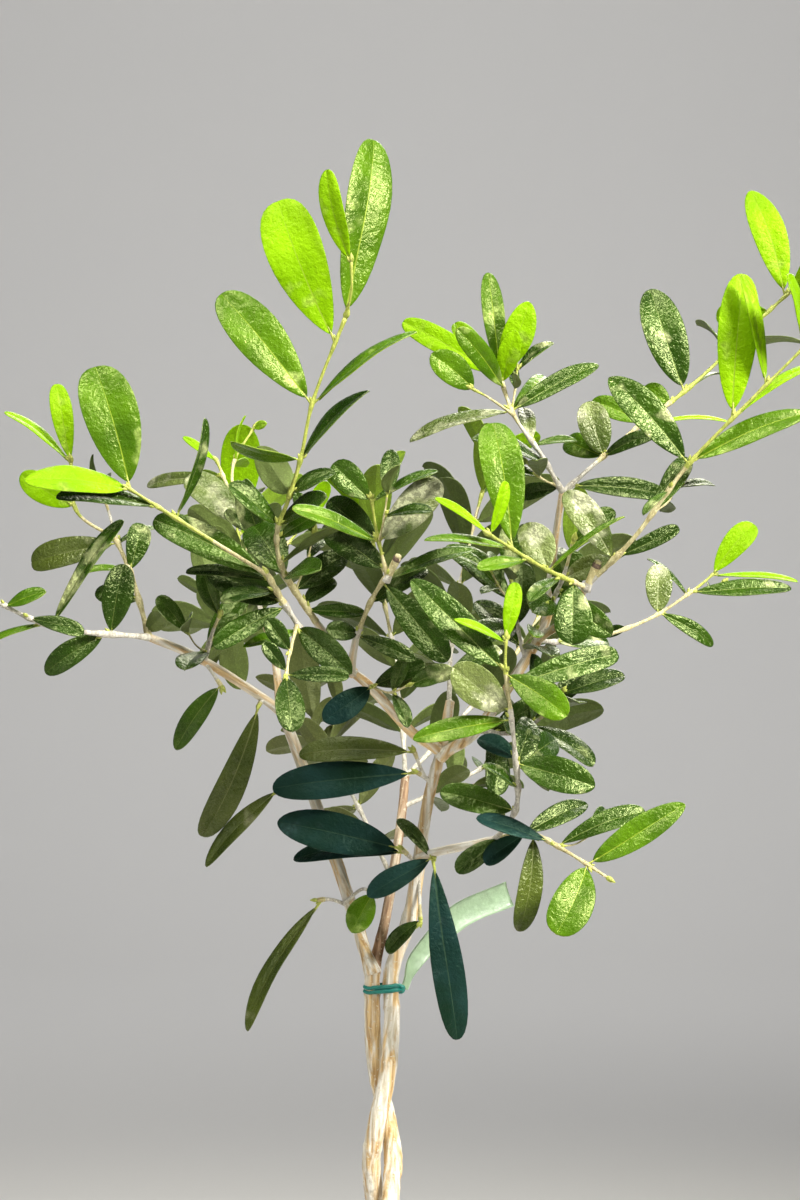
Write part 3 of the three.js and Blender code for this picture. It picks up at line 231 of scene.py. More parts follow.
            pairs=1, at=(0.34, 0.34), leaf=29, slim=0.38, roll=20, cross=55, size=(0.75, 0.6)),
    ]),
    dict(name="foliage_right_front", seed=173, on="bough_right_front", shoots=[
        spray([(65, -66, 459), (80, -76, 475), (95, -82, 496), (110, -86, 512), (131, -89, 533)],
            (1.2, 0.6), [
            (0.14, 569, 490, 34, 4, 10, "pale"), (0.16, 679, 524, 18, 2, 15, "dark"),
            (0.42, 641, 509, 12, 3, 50, "mature"), (0.34, 690, 452, 24, -6, 10, "mature"),
            (0.52, 616, 374, 40, 6, 15, "mature"), (0.53, 806, 403, 28, 4, 25, "bright"),
            (0.74, 748, 271, 44, 2, 5, "lime"), (0.74, 815, 348, 16, 4, 50, "lime"),
            (0.87, 757, 272, 20, -6, 40, "lime")], skin=(0.05, 0.5), pairs=1, at=(1, 1), leaf=43, slim=0.34,
            roll=10, cross=10, lean=(58, 14), lop=20, size=(0.75, 0.8), face=0.9, young=1),
    ]),
    dict(name="foliage_right_inner", seed=181, on="bough_right_front", shoots=[
        spray([(65, -66, 459), (51, -80, 465), (34, -92, 475)], (1.1, 0.6), [
            (1.0, 440, 491, 12, 0, 40, "lime"), (1.0, 511, 483, 16, 2, 30, "lime"),
            (0.8, 495, 419, 46, -2, 5, "bright"), (0.8, 429, 527, 16, 6, 55, "bright"),
            (0.65, 481, 561, 18, 10, 40, "bright"), (0.45, 526, 519, 38, -4, 10, "pale"),
            (0.45, 614, 506, 10, 6, 60, "bright"), (0.15, 574, 640, 42, 10, 5, "mature")], skin=(0, 0.15),
            pairs=1, at=(0.3, 0.3), leaf=34, slim=0.36, roll=20, cross=60, size=(0.4, 0.6)),
    ]),
    dict(name="foliage_right_top", seed=191, on="bough_right_top", shoots=[
        spray([(59, -42, 490), (52, -46, 502), (43, -46, 515), (38, -42, 530)], (1.1, 0.7), [
            (0.95, 404, 316, 28, 0, 10, "lime"), (0.95, 490, 267, 24, -4, 5, "bright"),
            (0.95, 531, 304, 34, -2, 10, "lime"), (0.97, 453, 314, 22, -6, 10, "lime"),
            (0.9, 515, 333, 24, 8, 0, "lime"), (0.86, 466, 332, 26, 14, 15, "bright"),
            (0.7, 595, 356, 24, 2, 30, "mature"), (0.7, 545, 366, 18, -4, 20, "bright"),
            (0.7, 407, 425, 26, 2, 55, "pale"), (0.42, 577, 434, 14, 0, 50, "mature"),
            (0.45, 524, 400, 18, -8, 10, "pale"), (0.05, 516, 492, 20, -6, 20, "dark")], skin=(0.6, 0.9),
            pairs=1, at=(0.25, 0.25), leaf=31, slim=0.38, roll=20, size=(0.8, 0.8)),
        spray([(43, -46, 515), (35, -52, 520), (29, -55, 523)], (0.7, 0.5), [
            (0.9, 435, 354, 34, 4, 10, "bright")], skin=(0, 0.6)),
    ]),
    dict(name="foliage_right_long", seed=199, on="bough_right_top", shoots=[
        spray([(59, -42, 490), (82, -32, 510), (105, -24, 528), (131, -15, 553), (158, -8, 577)],
            (1.1, 0.6), [
            (0.15, 590, 399, 36, 0, 10, "pale"), (0.15, 560, 434, 28, -4, 10, "bright"),
            (0.15, 649, 431, 18, 3, 30, "dark"), (0.3, 591, 397, 24, -3, 10, "bright"),
            (0.28, 730, 407, 8, -6, 50, "lime"), (0.45, 654, 284, 46, -2, 10, "mature"),
            (0.4, 640, 385, 26, -6, 10, "bright"), (0.47, 722, 362, 14, -6, 60, "mature"),
            (0.79, 756, 186, 38, 0, 10, "lime"), (0.74, 712, 316, 28, -8, 0, "lime"),
            (0.03, 681, 490, 24, -10, 20, "dark")], skin=(0.12, 0.4), pairs=3, at=(0.6, 1), leaf=34,
            slim=0.38, roll=30, cross=50, size=(0.7, 0.8), face=0.82, young=2),
    ]),
    dict(name="foliage_right_centre", seed=211, on="bough_right", shoots=[
        spray([(55, -34, 452), (59, -44, 462), (62, -52, 474)], (1.0, 0.7), [
            (0.3, 611, 634, 30, 6, 0, "mature"), (0.5, 612, 558, 26, -2, 10, "olive")], pairs=2, leaf=23,
            slim=0.56, roll=10, size=(0.9, 0.8)),
    ]),
    dict(name="foliage_right_heart", seed=223, on="bough_right", shoots=[
        spray([(48, -30, 435), (44, -40, 448), (42, -48, 462)], (1.0, 0.7), pairs=4, leaf=26, slim=0.44,
            roll=70, size=(0.9, 0.8)),
    ]),
    # The leaves under the crown take the dark kind throughout, for its shade: painted shade
    dict(name="foliage_right_under", shade="dark", seed=227, on="bough_right", shoots=[
        spray([(31, -20, 412), (42, -28, 411), (52, -34, 416), (59, -38, 425)], (1.1, 0.7), pairs=5,
            leaf=26, slim=0.42, roll=30, size=(0.8, 0.9)),
    ]),
    dict(name="foliage_right_far", seed=239, on="bough_right", shoots=[
        spray([(52, -32, 441), (68, -4, 441), (92, 24, 448), (111, 44, 459), (121, 52, 467)], (1.1, 0.6), [
            (0.55, 661, 562, 30, -2, 10, "pale"), (0.56, 718, 643, 18, -2, 20, "mature"),
            (0.42, 604, 633, 14, 2, 30, "dark"), (0.72, 792, 578, 22, 2, 35, "mature"),
            (0.7, 654, 552, 12, -2, 60, "mature"), (0.9, 753, 521, 28, 0, 15, "lime"),
            (0.9, 799, 569, 10, 0, 50, "lime")], skin=(0.2, 0.75), pairs=1, at=(0.1, 0.1), leaf=30,
            slim=0.38, roll=60, size=(0.8, 0.85)),
    ]),
    dict(name="foliage_back_centre", seed=251, on="bough_back", shoots=[
        spray([(8, 46, 392), (6, 62, 424), (0, 74, 456), (-6, 80, 488)], (1.3, 0.7), pairs=8, leaf=33,
            slim=0.38, roll=30, young=1),
    ]),
    dict(name="foliage_back_right", seed=257, on="bough_back", shoots=[
        spray([(8, 46, 392), (28, 64, 412), (52, 82, 440), (70, 96, 474)], (1.3, 0.7), pairs=8, leaf=33,
            slim=0.38, roll=60, young=1),
    ]),
    dict(name="foliage_back_low", shade="olive", seed=263, on="bough_back", shoots=[
        spray([(3, 20, 358), (-9, 46, 382), (-21, 74, 402), (-30, 96, 418)], (1.3, 0.7), pairs=6, leaf=30,
            slim=0.36, roll=40, young=1),
    ]),
    dict(name="foliage_back_left", seed=269, on="bough_left_back", shoots=[
        spray([(-42, 26, 450), (-47, 40, 464), (-52, 54, 478), (-52, 62, 492)], (1.2, 0.7), pairs=6,
            leaf=31, slim=0.4, roll=20, young=2),
        spray([(-49, 45, 469), (-36, 58, 474), (-28, 68, 484)], (0.8, 0.6), pairs=3, leaf=26, slim=0.4,
            roll=70, young=1),
    ]),
    dict(name="foliage_back_left_out", shade="mature", seed=271, on="bough_left_back", shoots=[
        spray([(-42, 26, 450), (-55, 46, 446), (-62, 68, 448), (-62, 88, 458)], (1.2, 0.7), pairs=6,
            leaf=29, slim=0.4, roll=50, young=1),
    ]),
    dict(name="foliage_back_high", seed=281, on="trunk_right", shoots=[
        spray([(22, -12, 418), (24, 6, 444), (30, 24, 474), (38, 34, 504)], (1.3, 0.7), pairs=8, leaf=31,
            slim=0.4, roll=10, young=1),
    ]),
    dict(name="foliage_back_side", seed=283, on="bough_back", shoots=[
        spray([(7, 38, 382), (26, 48, 390), (44, 60, 400), (58, 74, 412)], (1.2, 0.7), pairs=6, leaf=30,
            slim=0.38, roll=50),
    ]),
]

# Sizes of what only shows here
TWIGLET = dict(from_age=1, share=0.24, tries=4, lean=(0.5, 0.95), aside=0.9, length=(9, 19), two_pairs=13,
    lift=0.5, sunk=0.3, clear_from=0.35, radius=(0.5, 0.34), leaf=(11, 17), young=0.25,
    rule=dict(at=(0.55, 1), slim=0.42, size=(0.85, 1), face=0.6), skin=(0, 0.9))
# Lumps, fissures and grain: the strength, the length in millimetres, and the count round the limb
BARK = dict(lumps=(0.07, 13, 4), fissures=(0.16, 7, 9), grain=(0.035, 1.6, 14), sharp=1.5, rings=0.10,
    ring_width=1.1, first_ring=(6, 14), last_ring=4, spacing=(16, 34), facing=(0.45, 0.55), full=2.5,
    sides=26, step=0.9, collar=0.35, collar_length=3.5, slim=0.93)
TWIG_SKIN = dict(step=1.0, sides=10, between=0.66, at_node=1.05, node=2.2, grain=0.05, grain_length=3,
    cells=5, tan=0.34, green=0.06)
# The fewest rings of a tube, and the columns of a blade on each side of its midrib
LEAST_RINGS = 6
RIB_COLUMNS = [4, 5]
# The paints of a leaf, and those of the twigs, the compost and the tie, in the order of their rows below
UPPER, RIB, UNDER = range(3)
GREY, TAN, GREEN, PITH = range(4)
SOIL_PAINT, CHIP, GRIT = range(3)
TEAL, PALE = range(2)
BLADE = dict(rows=12, long_rows=17, long=20, first=0.04, last=0.999, strips=(0.68, 0.36), tip=0.2,
    rim=0.22, rim_share=0.2, rib=0.005, rib_fade=1.15, rib_share=0.25, wave=0.016, waves=(1.2, 2.2),
    bend=0.03, curl=0.06, curl_power=5, groove=0.26, groove_reach=0.3, thickness=0.36, edge=0.5,
    keel=0.006, keel_fade=1.1, foot=(0.60, 0.78), point=(0.36, 0.58), blunt=1.3, narrow=0.94, nod=0.08,
    nod_from=0.5, swell=1.7, soft=0.01)
STALK = dict(until=0.12, sink=0.34, foot=0.010, end=0.003, least=0.13, spots=4, rings=6, sides=7)
BUD = dict(out=0.6, up=0.9, lean=0.6, beside=(1.4, 2.4), tip=(2.4, 3.6), girth=0.28, sides=7,
    profile=(0.7, 1, 1.05, 0.85, 0.5, 0.15))
# Ends of twigs that were pruned: where each starts and stops, and its radius
STUBS = [((65, -66, 458), (68.6, -69, 466.5), 1.35), ((1.6, -65, 461), (5.4, -68.5, 468.5), 1.25)]
# The girth and paints along a stub, and the discs of its cut: their radius, how far out they stand, paint
STUB = dict(profile=(1.25, 1.05, 0.95, 0.92, 0.95, 1.0, 1.06, 1.08), sides=12,
    paints=(GREY, GREY, TAN, TAN, TAN, TAN, PITH), cut=((0.86, 0.62, TAN), (0.3, 0.66, PITH)),
    disc=(1, 1, 0.98))
POT_SKIN = dict(centre=0.3, rounding=(2.5, 1.5, 2.0, 3.0, 3.0, 2), under_rim=(1, 1.5), step=1.6, arc=7,
    sides=200, still=4, rings=(0.16, 1.15), drift=(0.7, 0.21), plain=3, swell=(0.22, 14, 12),
    oval=(0.10, 0.6), seed=71)
# The layers of the compost: how tall the lumps are, their length, their count round the pot, and the seed
SOIL_SKIN = dict(sides=180, rows=70, seed=5, low=1.2, layers=((0.9, 5, 60, 81), (0.5, 2, 120, 82)))
CRUMBS = dict(count=900, size=(0.9, 2.3), small=0.85, large=1.8, pale=0.05, inset=2, stems=9, sunk=0.6,
    rows=5, sides=7, top=1.45, dent=0.22, wide=(0.5, 0.9), tall=(0.35, 0.7), tilt=0.5)
# The band of the tie, its loose end, and the knot: its loops lie aside and up by the shares in its path
BAND = dict(rows=17, turn=24, inside=0.1, outside=0.2, sag=(0.18, 6))
TAIL = dict(rows=60, columns=9, cup=(0.9, 0.4), curl=(0.25, 17))
KNOT = dict(loops=[(-0.7, 0.5), (0.7, 0.3), (0.0, -0.8)], girth=(0.75, 0.12, 6), rings=16, sides=10,
    path=[(-1.0, 1.2, 1.6), (0.9, 1.6, 1.2), (0.7, -1.2, -0.8), (-0.8, -1, -1)])
SEEDS = dict(twiglets=1000, leaves=2000, bark=300, next_bark=10)

# The kinds of leaf that grow: young ones, ones as old as a row's young, and older ones
KIND_SHARES = dict(lime=0.72, bright=0.55, mature=0.58)
# Each kind's sheen colour, from its level up, is a painted highlight: cream patches painted on the upper
# face
KINDS = {
    "lime": dict(upper=(0.165, 0.35, 0.001), second=(0.195, 0.39, 0.002), rib=(0.30, 0.47, 0.03),
        under=(0.18, 0.36, 0.003), sheen=(0.30, 0.46, 0.05), sheen_from=0.60, rough=0.36, gloss=0.28,
        tint=(1.0, 1.0, 0.15), wrinkle=0.08, fold=0.6),
    "bright": dict(upper=(0.041, 0.108, 0.002), second=(0.076, 0.172, 0.003), rib=(0.30, 0.42, 0.03),
        under=(0.16, 0.26, 0.02), sheen=(0.38, 0.50, 0.12), sheen_from=0.63, rough=0.26, gloss=0.45,
        tint=(0.95, 1.0, 0.4), wrinkle=0.07, fold=1.3),
    "mature": dict(upper=(0.013, 0.042, 0.001), second=(0.029, 0.072, 0.003), rib=(0.17, 0.23, 0.05),
        under=(0.095, 0.13, 0.033), sheen=(0.51, 0.55, 0.25), sheen_from=0.61, rough=0.22, gloss=0.6,
        tint=(0.85, 1.0, 0.42), wrinkle=0.10, fold=1.9),
    "dark": dict(upper=(0.008, 0.025, 0.002), second=(0.017, 0.043, 0.003), rib=(0.10, 0.14, 0.03),
        under=(0.055, 0.080, 0.020), sheen=(0.20, 0.24, 0.09), sheen_from=0.65, rough=0.22, gloss=0.5,
        tint=(0.85, 1.0, 0.42), wrinkle=0.10, fold=1.9),
    "olive": dict(upper=(0.032, 0.052, 0.006), second=(0.062, 0.085, 0.011), rib=(0.17, 0.20, 0.06),
        under=(0.100, 0.12, 0.036), sheen=(0.30, 0.31, 0.16), sheen_from=0.62, rough=0.26, gloss=0.45,
        tint=(0.95, 1.0, 0.6), wrinkle=0.10, fold=1.8),
    # Pale leaves are mature leaves painted paler and creamier all over, a painted reflection of the light
    # on their gloss
    "pale": dict(upper=(0.065, 0.105, 0.014), second=(0.15, 0.19, 0.05), rib=(0.40, 0.44, 0.20),
        under=(0.17, 0.21, 0.07), sheen=(0.50, 0.52, 0.31), sheen_from=0.50, rough=0.24, gloss=0.55,
        tint=(1.0, 1.0, 0.7), wrinkle=0.13, fold=1.6),
    # Blue leaves are low leaves in the crown's shade, painted darker and bluer: painted shade
    "blue": dict(upper=(0.006, 0.023, 0.012), second=(0.011, 0.035, 0.032), rib=(0.05, 0.10, 0.06),
        under=(0.009, 0.026, 0.017), sheen=(0.03, 0.065, 0.06), sheen_from=0.60, rough=0.32, gloss=0.16,
        tint=(0.5, 0.9, 0.6), wrinkle=0.09, fold=1.6),
}
YOUNG_KINDS = ("lime", "bright")
BARKS = {
    "bark": dict(patch=(2.4, 0.47, 0.60, 3, (1, 1, 0.05)), pale=((0.52, 0.46, 0.34), (0.76, 0.73, 0.65)),
        brown=((0.40, 0.24, 0.09), (0.68, 0.50, 0.26))),
    # A darker, browner copy of the bark for the back bough, which stands in the shade: painted shade
    "bark_inner": dict(patch=(2.4, 0.38, 0.52, 3, (1, 1, 0.05)),
        pale=((0.34, 0.25, 0.16), (0.58, 0.48, 0.36)), brown=((0.20, 0.11, 0.06), (0.42, 0.28, 0.17))),
}
# Two colours and a roughness for each
TWIGS = {
    "twig_grey": ((0.33, 0.30, 0.24), (0.58, 0.55, 0.47), 0.7),
    "twig_tan": ((0.36, 0.30, 0.13), (0.56, 0.51, 0.28), 0.6),
    "twig_green": ((0.24, 0.28, 0.04), (0.42, 0.45, 0.09), 0.5),
    "twig_pith": ((0.05, 0.03, 0.02), (0.12, 0.08, 0.05), 0.8),
}
COMPOSTS = {
    "compost": ((0.035, 0.022, 0.013), (0.085, 0.055, 0.032)),
    "compost_bark": ((0.07, 0.04, 0.022), (0.17, 0.10, 0.055)),
    "compost_grit": ((0.42, 0.40, 0.36), (0.60, 0.58, 0.53)),
}
TAPES = {"tie_teal": (0.002, 0.14, 0.11), "tie_pale": (0.20, 0.28, 0.175)}
LENTICEL = (0.60, 0.52, 0.38)
CLAY = dict(base=((0.40, 0.155, 0.072), (0.52, 0.225, 0.115)), bloom=(0.62, 0.44, 0.33),
    speck=(0.28, 0.10, 0.05))
# The gloss of a leaf and its painted sheen, a painted highlight: the size, edge and detail of its patches,
# and how crinkles and grain dim it
GLOSS_AND_PAINTED_SHEEN = dict(size=11, edge=0.12, detail=2, crinkle=0.5, grain=(0.75, 1.1), smoother=0.04, rougher=0.10)
# How much darker or paler than its kind the shades of a leaf are, and the spots on twigs and tape
LEAF_SHADES = dict(upper=0.85, rib=(0.75, 0.5), under=(0.75, 1.35), under_gloss=0.8)
PALER = 1.3
# Noise: the size of its features in millimetres, the levels that become 0 and 1, its detail, its stretch
PATTERNS = dict(
    leaf_grain=(0.34, 0.3, 0.7, 2),
    leaf_wrinkle=(0.9, 0.25, 0.75, 2),
    leaf_crinkle=(1.5, 0.42, 0.58, 3),
    leaf_cloud=(16, 0.35, 0.65, 2),
    leaf_dent=(4.5, 0.2, 0.8, 2),
    rib_cloud=(2, 0.3, 0.7, 2),
    rib_grain=(0.6, 0.2, 0.8, 2),
    under_cloud=(9, 0.3, 0.7, 2),
    under_scale=(0.5, 0.5, 0.75, 1),
    under_dent=(1.7, 0.2, 0.8, 3),
    under_grain=(0.4, 0.2, 0.8, 1),
    bark_streak=(1.1, 0.36, 0.60, 4, (1, 1, 0.07)),
    bark_spot=(1.1, 0.63, 0.70, 1),
    bark_grain=(0.7, 0.2, 0.8, 3),
    twig_streak=(1.1, 0.35, 0.65, 3, (1, 1, 0.3)),
    twig_spot=(0.6, 0.6, 0.7, 1),
    twig_grain=(0.4, 0.2, 0.8, 2),
    clay_cloud=(34, 0.35, 0.65, 4),
    clay_bloom=(26, 0.56, 0.74, 6),
    clay_speck=(1.3, 0.62, 0.70, 2),
    clay_wear=(3, 0.3, 0.7, 3),
    clay_dent=(2.2, 0.2, 0.8, 5, (1, 1, 3)),
    clay_grain=(0.6, 0.2, 0.8, 2),
    compost_cloud=(1.4, 0.35, 0.65, 4),
    compost_dent=(0.8, 0.2, 0.8, 4),
    tape_cloud=(3, 0.3, 0.7, 2),
    tape_wear=(1.5, 0.3, 0.7, 3),
    tape_dent=(2.5, 0.2, 0.8, 3),
    tape_grain=(0.4, 0.2, 0.8, 2),
)

# The studio, in metres: the camera frames a view as tall as frame_height at the trunk
CAMERA = dict(x=0.0061, z=0.455, distance=1.0, frame_height=0.408, sensor=36)
STAGE = dict(radius=4.2, bend=1.5, top=5.5, centre=0.01, flat_rings=6, bend_rings=24, sides=96,
    colour=(0.662, 0.655, 0.642), air=(0.90, 0.92, 0.95), air_strength=0.05)
# Each light: its name, its place, what it is aimed at, its size, power, spread in degrees and colour
LIGHTS = [
    ("key", (1.5, -1.2, 1.7), (0, 0, 0.44), 0.75, 9.2, 45, (1.0, 0.98, 0.92)),
    ("fill", (-1.7, -1.6, 1.0), (0, 0, 0.44), 1.0, 1.2, 60, (0.96, 0.98, 1.0)),
    ("top", (-0.5, -0.9, 2.2), (0, 0, 0.48), 0.9, 3.6, 40, (1.0, 0.98, 0.90)),
    ("back", (0.5, 1.5, 1.9), (0, 0, 0.48), 2.0, 10.5, 45, (1.0, 0.97, 0.86)),
    ("wall", (0.0, 1.5, 2.3), (0, 3.95, 0.42), 1.6, 31, 135, (1.0, 1.0, 1.0)),
    ("wall_front", (0.0, -1.4, 3.4), (0, -4.2, 1.1), 1.8, 22, 150, (1.0, 1.0, 1.0)),
]

# Small helpers
AWAY = np.array([0.0, 1.0, 0.0])
UP = np.array([0.0, 0.0, 1.0])
WORD = 0xFFFFFFFF
SAMPLES = 201
NUDGE = 1e-4


def mix(a, b, t):
    return a + (b - a) * t


def unit(v):
    return v / np.linalg.norm(v, axis=-1, keepdims=True)


# The small seeded random source of the solids, from 0 to 1.
def random_from(seed):
    state = seed

    def draw():
        nonlocal state
        state = (state + 0x6D2B79F5) & WORD
        r = (state ^ (state >> 15)) * (state | 1) & WORD
        r ^= (r + ((r ^ (r >> 7)) * (r | 61) & WORD)) & WORD
        return (r ^ (r >> 14)) / 4294967296

    return draw


# A smooth curve through a few points.
class Curve:
    def __init__(self, points):
        p = np.array(points, float)
        self.p = np.vstack([2 * p[0] - p[1], p, 2 * p[-1] - p[-2]])
        self.spans = len(p) - 1

    def point(self, t):
        x = np.asarray(t, float) * self.spans
        i = np.minimum(np.floor(x).astype(int), self.spans - 1)
        w = (x - i)[..., None]
        p0, p1, p2, p3 = (self.p[i + k] for k in range(4))
        t0, t1 = 0.5 * (p2 - p0), 0.5 * (p3 - p1)
        return p1 + t0 * w + (-3 * p1 + 3 * p2 - 2 * t0 - t1) * w**2 + (2 * p1 - 2 * p2 + t0 + t1) * w**3

    def direction(self, t):
        t = np.asarray(t, float)
        return unit(self.point(np.clip(t + NUDGE, 0, 1)) - self.point(np.clip(t - NUDGE, 0, 1)))

    def length(self):
        return np.linalg.norm(np.diff(self.point(np.linspace(0, 1, SAMPLES)), axis=0), axis=1).sum()


class Limb:
    def __init__(self, name, curve, radius_at):
        self.name, self.curve, self.radius_at = name, curve, radius_at
        self.length = curve.length()
        t = np.linspace(0, 1, max(2, math.ceil(self.length / STEP)) + 1)
        self.p, self.radius = curve.point(t), radius_at(t)
        low, high = self.p.min(0), self.p.max(0)
        self.centre, self.span = (low + high) / 2, np.linalg.norm(high - low) / 2

    # The point, direction and two cross directions: side lies across the front view, and back points away.
    def at(self, t):
        along = self.curve.direction(t)
        side = unit(np.cross(AWAY, along))
        return dict(p=self.curve.point(t), along=along, side=side, back=np.cross(along, side),
                    radius=self.radius_at(t))

    def nearest(self, p):
        spots = self.curve.point(np.linspace(0, 1, SAMPLES))
        return spots[np.linalg.norm(spots - p, axis=1).argmin()]


# The stems twist round each other, and run side by side at the tie.
def stem_radius(z):
    up = (z - SOIL["level"]) / (TIE["height"] - SOIL["level"])
    flare = TRUNK["flare"] * np.exp(-(z - SOIL["level"]) / TRUNK["flare_height"])
    return mix(TRUNK["base"], TRUNK["top"], np.minimum(1, up)) + flare


def coil(turn, z):
    below = max(0, TRUNK["untwisted"] - z)
    twist = below * below / (below + TRUNK["ease"])
    angle = turn - twist / TRUNK["pitch"] * 2 * math.pi
    reach = stem_radius(z) + TRUNK["apart"] / 2
    return [math.cos(angle) * reach, math.sin(angle) * reach, z]


def make_stem(row):
    heights = np.linspace(SOIL["level"] - TRUNK["buried"], row["top"], TRUNK["coils"])
    curve = Curve([coil(row["turn"], z) for z in heights] + row["leader"])
    end = curve.point(1.0)[2]

    def radius_at(t):
        z = curve.point(t)[..., 2]
        above = (z - TIE["height"]) / (end - TIE["height"])
        return np.where(above < 0, stem_radius(z), mix(TRUNK["top"], row["tip"], above))

    return Limb(row["name"], curve, radius_at)


def limb_from(name, path, radius, carriers):
    start = np.array(path[0], float)
    spots = [limb.nearest(start) for limb in carriers]
    first = min(spots, key=lambda p: np.linalg.norm(p - start))
    return Limb(name, Curve([first, *path[1:]]), lambda t: mix(*radius, np.asarray(t, float)))


# Leaves. A blade is a surface over u, from the foot to the tip, and v, from one edge to the other.
def outline(wide, s, foot, tip):
    broadest = foot / (foot + tip)
    most = broadest**foot * (1 - broadest) ** tip
    return wide * s**foot * (1 - s) ** tip / most


def half_width(u, width):
    blade = np.clip((u - LEAF["petiole"]) / (1 - LEAF["petiole"]), 0, 1)
    return outline(width / 2, blade, *LEAF["outline"])


TEST_U, TEST_V = (a.ravel() for a in np.meshgrid(mix(LEAF["clear_from"], 1, np.arange(11) / 10),
                                                 np.arange(-3, 4) / 3, indexing="ij"))


class Leaf:
    def __init__(self, foot, along, face, length, width):
        self.foot, self.along, self.face, self.length, self.width = foot, along, face, length, width
        self.across = np.cross(along, face)
        self.middle = self.at(LEAF["middle"], 0)
        self.points = self.at(TEST_U, TEST_V)

    def rise(self, u, v, half):
        return -LEAF["droop"] * self.length * u * u + LEAF["fold"] * np.abs(v) * half

    # The points that lie so far along the blade, across it and out of its face.
    def put(self, *place):
        ways = [self.along, self.across, self.face]
        return self.foot + sum(np.multiply.outer(a, b) for a, b in zip(place, ways))

    def at(self, u, v):
        half = half_width(np.minimum(u, 1), self.width)
        return self.put(u * self.length, v * half, self.rise(u, v, half))

    # True where one of the points lies within the margin of the blade.
    def holds(self, points):
        away = points - self.foot
        u = away @ self.along / self.length
        slack = LEAF["margin"] / self.length
        half = half_width(np.clip(u, 0, 1), self.width)
        v = np.abs(away @ self.across)
        share = np.minimum(1, v / np.maximum(half, 1e-12)) * (half > 0)
        near = np.abs(away @ self.face - self.rise(u, share, half)) < LEAF["margin"]
        return bool(((u >= -slack) & (u <= 1 + slack) & (v <= half + LEAF["margin"]) & near).any())

    def touches(self, other):
        if np.linalg.norm(self.middle - other.middle) > LEAF["near"] * (self.length + other.length):
            return False
        return other.holds(self.points) or self.holds(other.points)


def leaf_at(spot, phase, lean, length, width, turn):
    away = spot["side"] * math.cos(phase) + spot["back"] * math.sin(phase)
    along = unit(spot["along"] * math.cos(lean) + away * math.sin(lean))
    p = spot["p"]
    outward = unit(np.array([LIGHT["sideways"] * p[0], p[1], 0]))
    light = outward * LIGHT["outward"] + UP * LIGHT["up"]
    own = unit(spot["along"] - along * (spot["along"] @ along))
    light = unit(light - along * (light @ along))
    face = own * (1 - turn) + light * turn
    face = unit(face - along * (face @ along))
    return Leaf(p - along * LEAF["sunk"] * spot["radius"], along, face, length, width)


# A leaf seen in the photograph, from its row and how far it has to shift towards the viewer.
def leaf_seen(spot, mark, shift):
    _, column, row, width, nearer, roll, _ = mark
    y = spot["p"][1] - nearer - shift
    scale = VIEW["pixel"] * (1 + y / VIEW["distance"])
    across, down = column - VIEW["centre"][0], row - VIEW["centre"][1]
    way = np.array([VIEW["x"] + across * scale, y, VIEW["z"] - down * scale]) - spot["p"]
    along = unit(way)
    front = unit(along * along[1] - AWAY)
    side = np.cross(along, front)
    if side[2] + 0.5 * side[0] < 0:
        side = -side
    face = front * math.cos(math.radians(roll)) + side * math.sin(math.radians(roll))
    foot = spot["p"] - along * LEAF["sunk"] * spot["radius"]
    return Leaf(foot, along, face, np.linalg.norm(way), width * scale)


def meets_limb(leaf, limb):
    if np.linalg.norm(limb.centre - leaf.middle) > limb.span + LEAF["near"] * leaf.length:
        return False
    start, step = limb.p[:-1], np.diff(limb.p, axis=0)
    t = np.einsum("skc,sc->sk", leaf.points[None] - start[:, None], step) / (step**2).sum(1)[:, None]
    closest = start[:, None] + np.clip(t, 0, 1)[..., None] * step[:, None]
    own = np.linalg.norm(closest - leaf.foot, axis=2) < LEAF["foot_reach"]
    own &= np.arange(len(leaf.points)) < LEAF["foot_points"]
    near = np.linalg.norm(closest - leaf.points, axis=2) < limb.radius[1:, None] + REACH
    return bool((~own & near).any())


def is_clear(leaf, placed, limbs):
    return not any(leaf.touches(o) for o in placed) and not any(meets_limb(leaf, limb) for limb in limbs)


# A seen leaf that isn't clear is moved to the front or the back a little, and left out in the end.
def place_seen(row, shoot, placed, limbs):
    leaves = []
    for mark in row["seen"]:
        spot = shoot.at(mark[0])
        for shift in VIEW["shifts"]:
            leaf = leaf_seen(spot, mark, shift)
            if is_clear(leaf, placed, limbs):
                leaf.where, leaf.kind, leaf.half = mark[0], mark[6], 0
                leaf.age = 0 if leaf.kind in YOUNG_KINDS else 1
                placed.append(leaf)
                leaves.append(leaf)
                break
    return leaves


# The rule of growth: pairs of leaves cross along the shoot, and are larger up to its last but one.
def grow_leaves(row, shoot, random, placed, limbs):
    spec = {**USUAL, **row}
    pairs = spec["pairs"]
    leaves = []
    for k in range(pairs):
        share = k / (pairs - 1) if pairs > 1 else 1
        grown = k / (pairs - 2) if pairs > 2 else 1
        size = spec["size"][1] if k == pairs - 1 else mix(spec["size"][0], 1, grown)
        spread = mix(*spec["lean"], share * share)
        where = mix(*spec["at"], share)
        spot = shoot.at(where)
        for half in range(2):
            for n in range(LEAF["tries"]):
                loose = GROWTH["loose"] + GROWTH["loosen"] * n
                place = spec["roll"] + spec["cross"] * (pairs - 1 - k) + 180 * half
                phase = place + (random() - 0.5) * GROWTH["phase"] * loose
                lop = spec["lop"] if half else -spec["lop"]
                lean = spread + lop + (random() - 0.5) * GROWTH["lean"] * loose
                length = spec["leaf"] * size * mix(*GROWTH["length"], random())
                length *= 1 - GROWTH["shrink"] * n
                turn = min(GROWTH["most_turn"], spec["face"] + (random() - 0.5) * GROWTH["turn"])
                width = length * spec["slim"] * mix(*GROWTH["width"], random())
                leaf = leaf_at(spot, math.radians(phase), math.radians(lean), length, width, turn)
                if not is_clear(leaf, placed, limbs):
                    continue
                leaf.age, leaf.half, leaf.where, leaf.kind = pairs - 1 - k, half, where, None
                placed.append(leaf)
                leaves.append(leaf)
                break
    return leaves


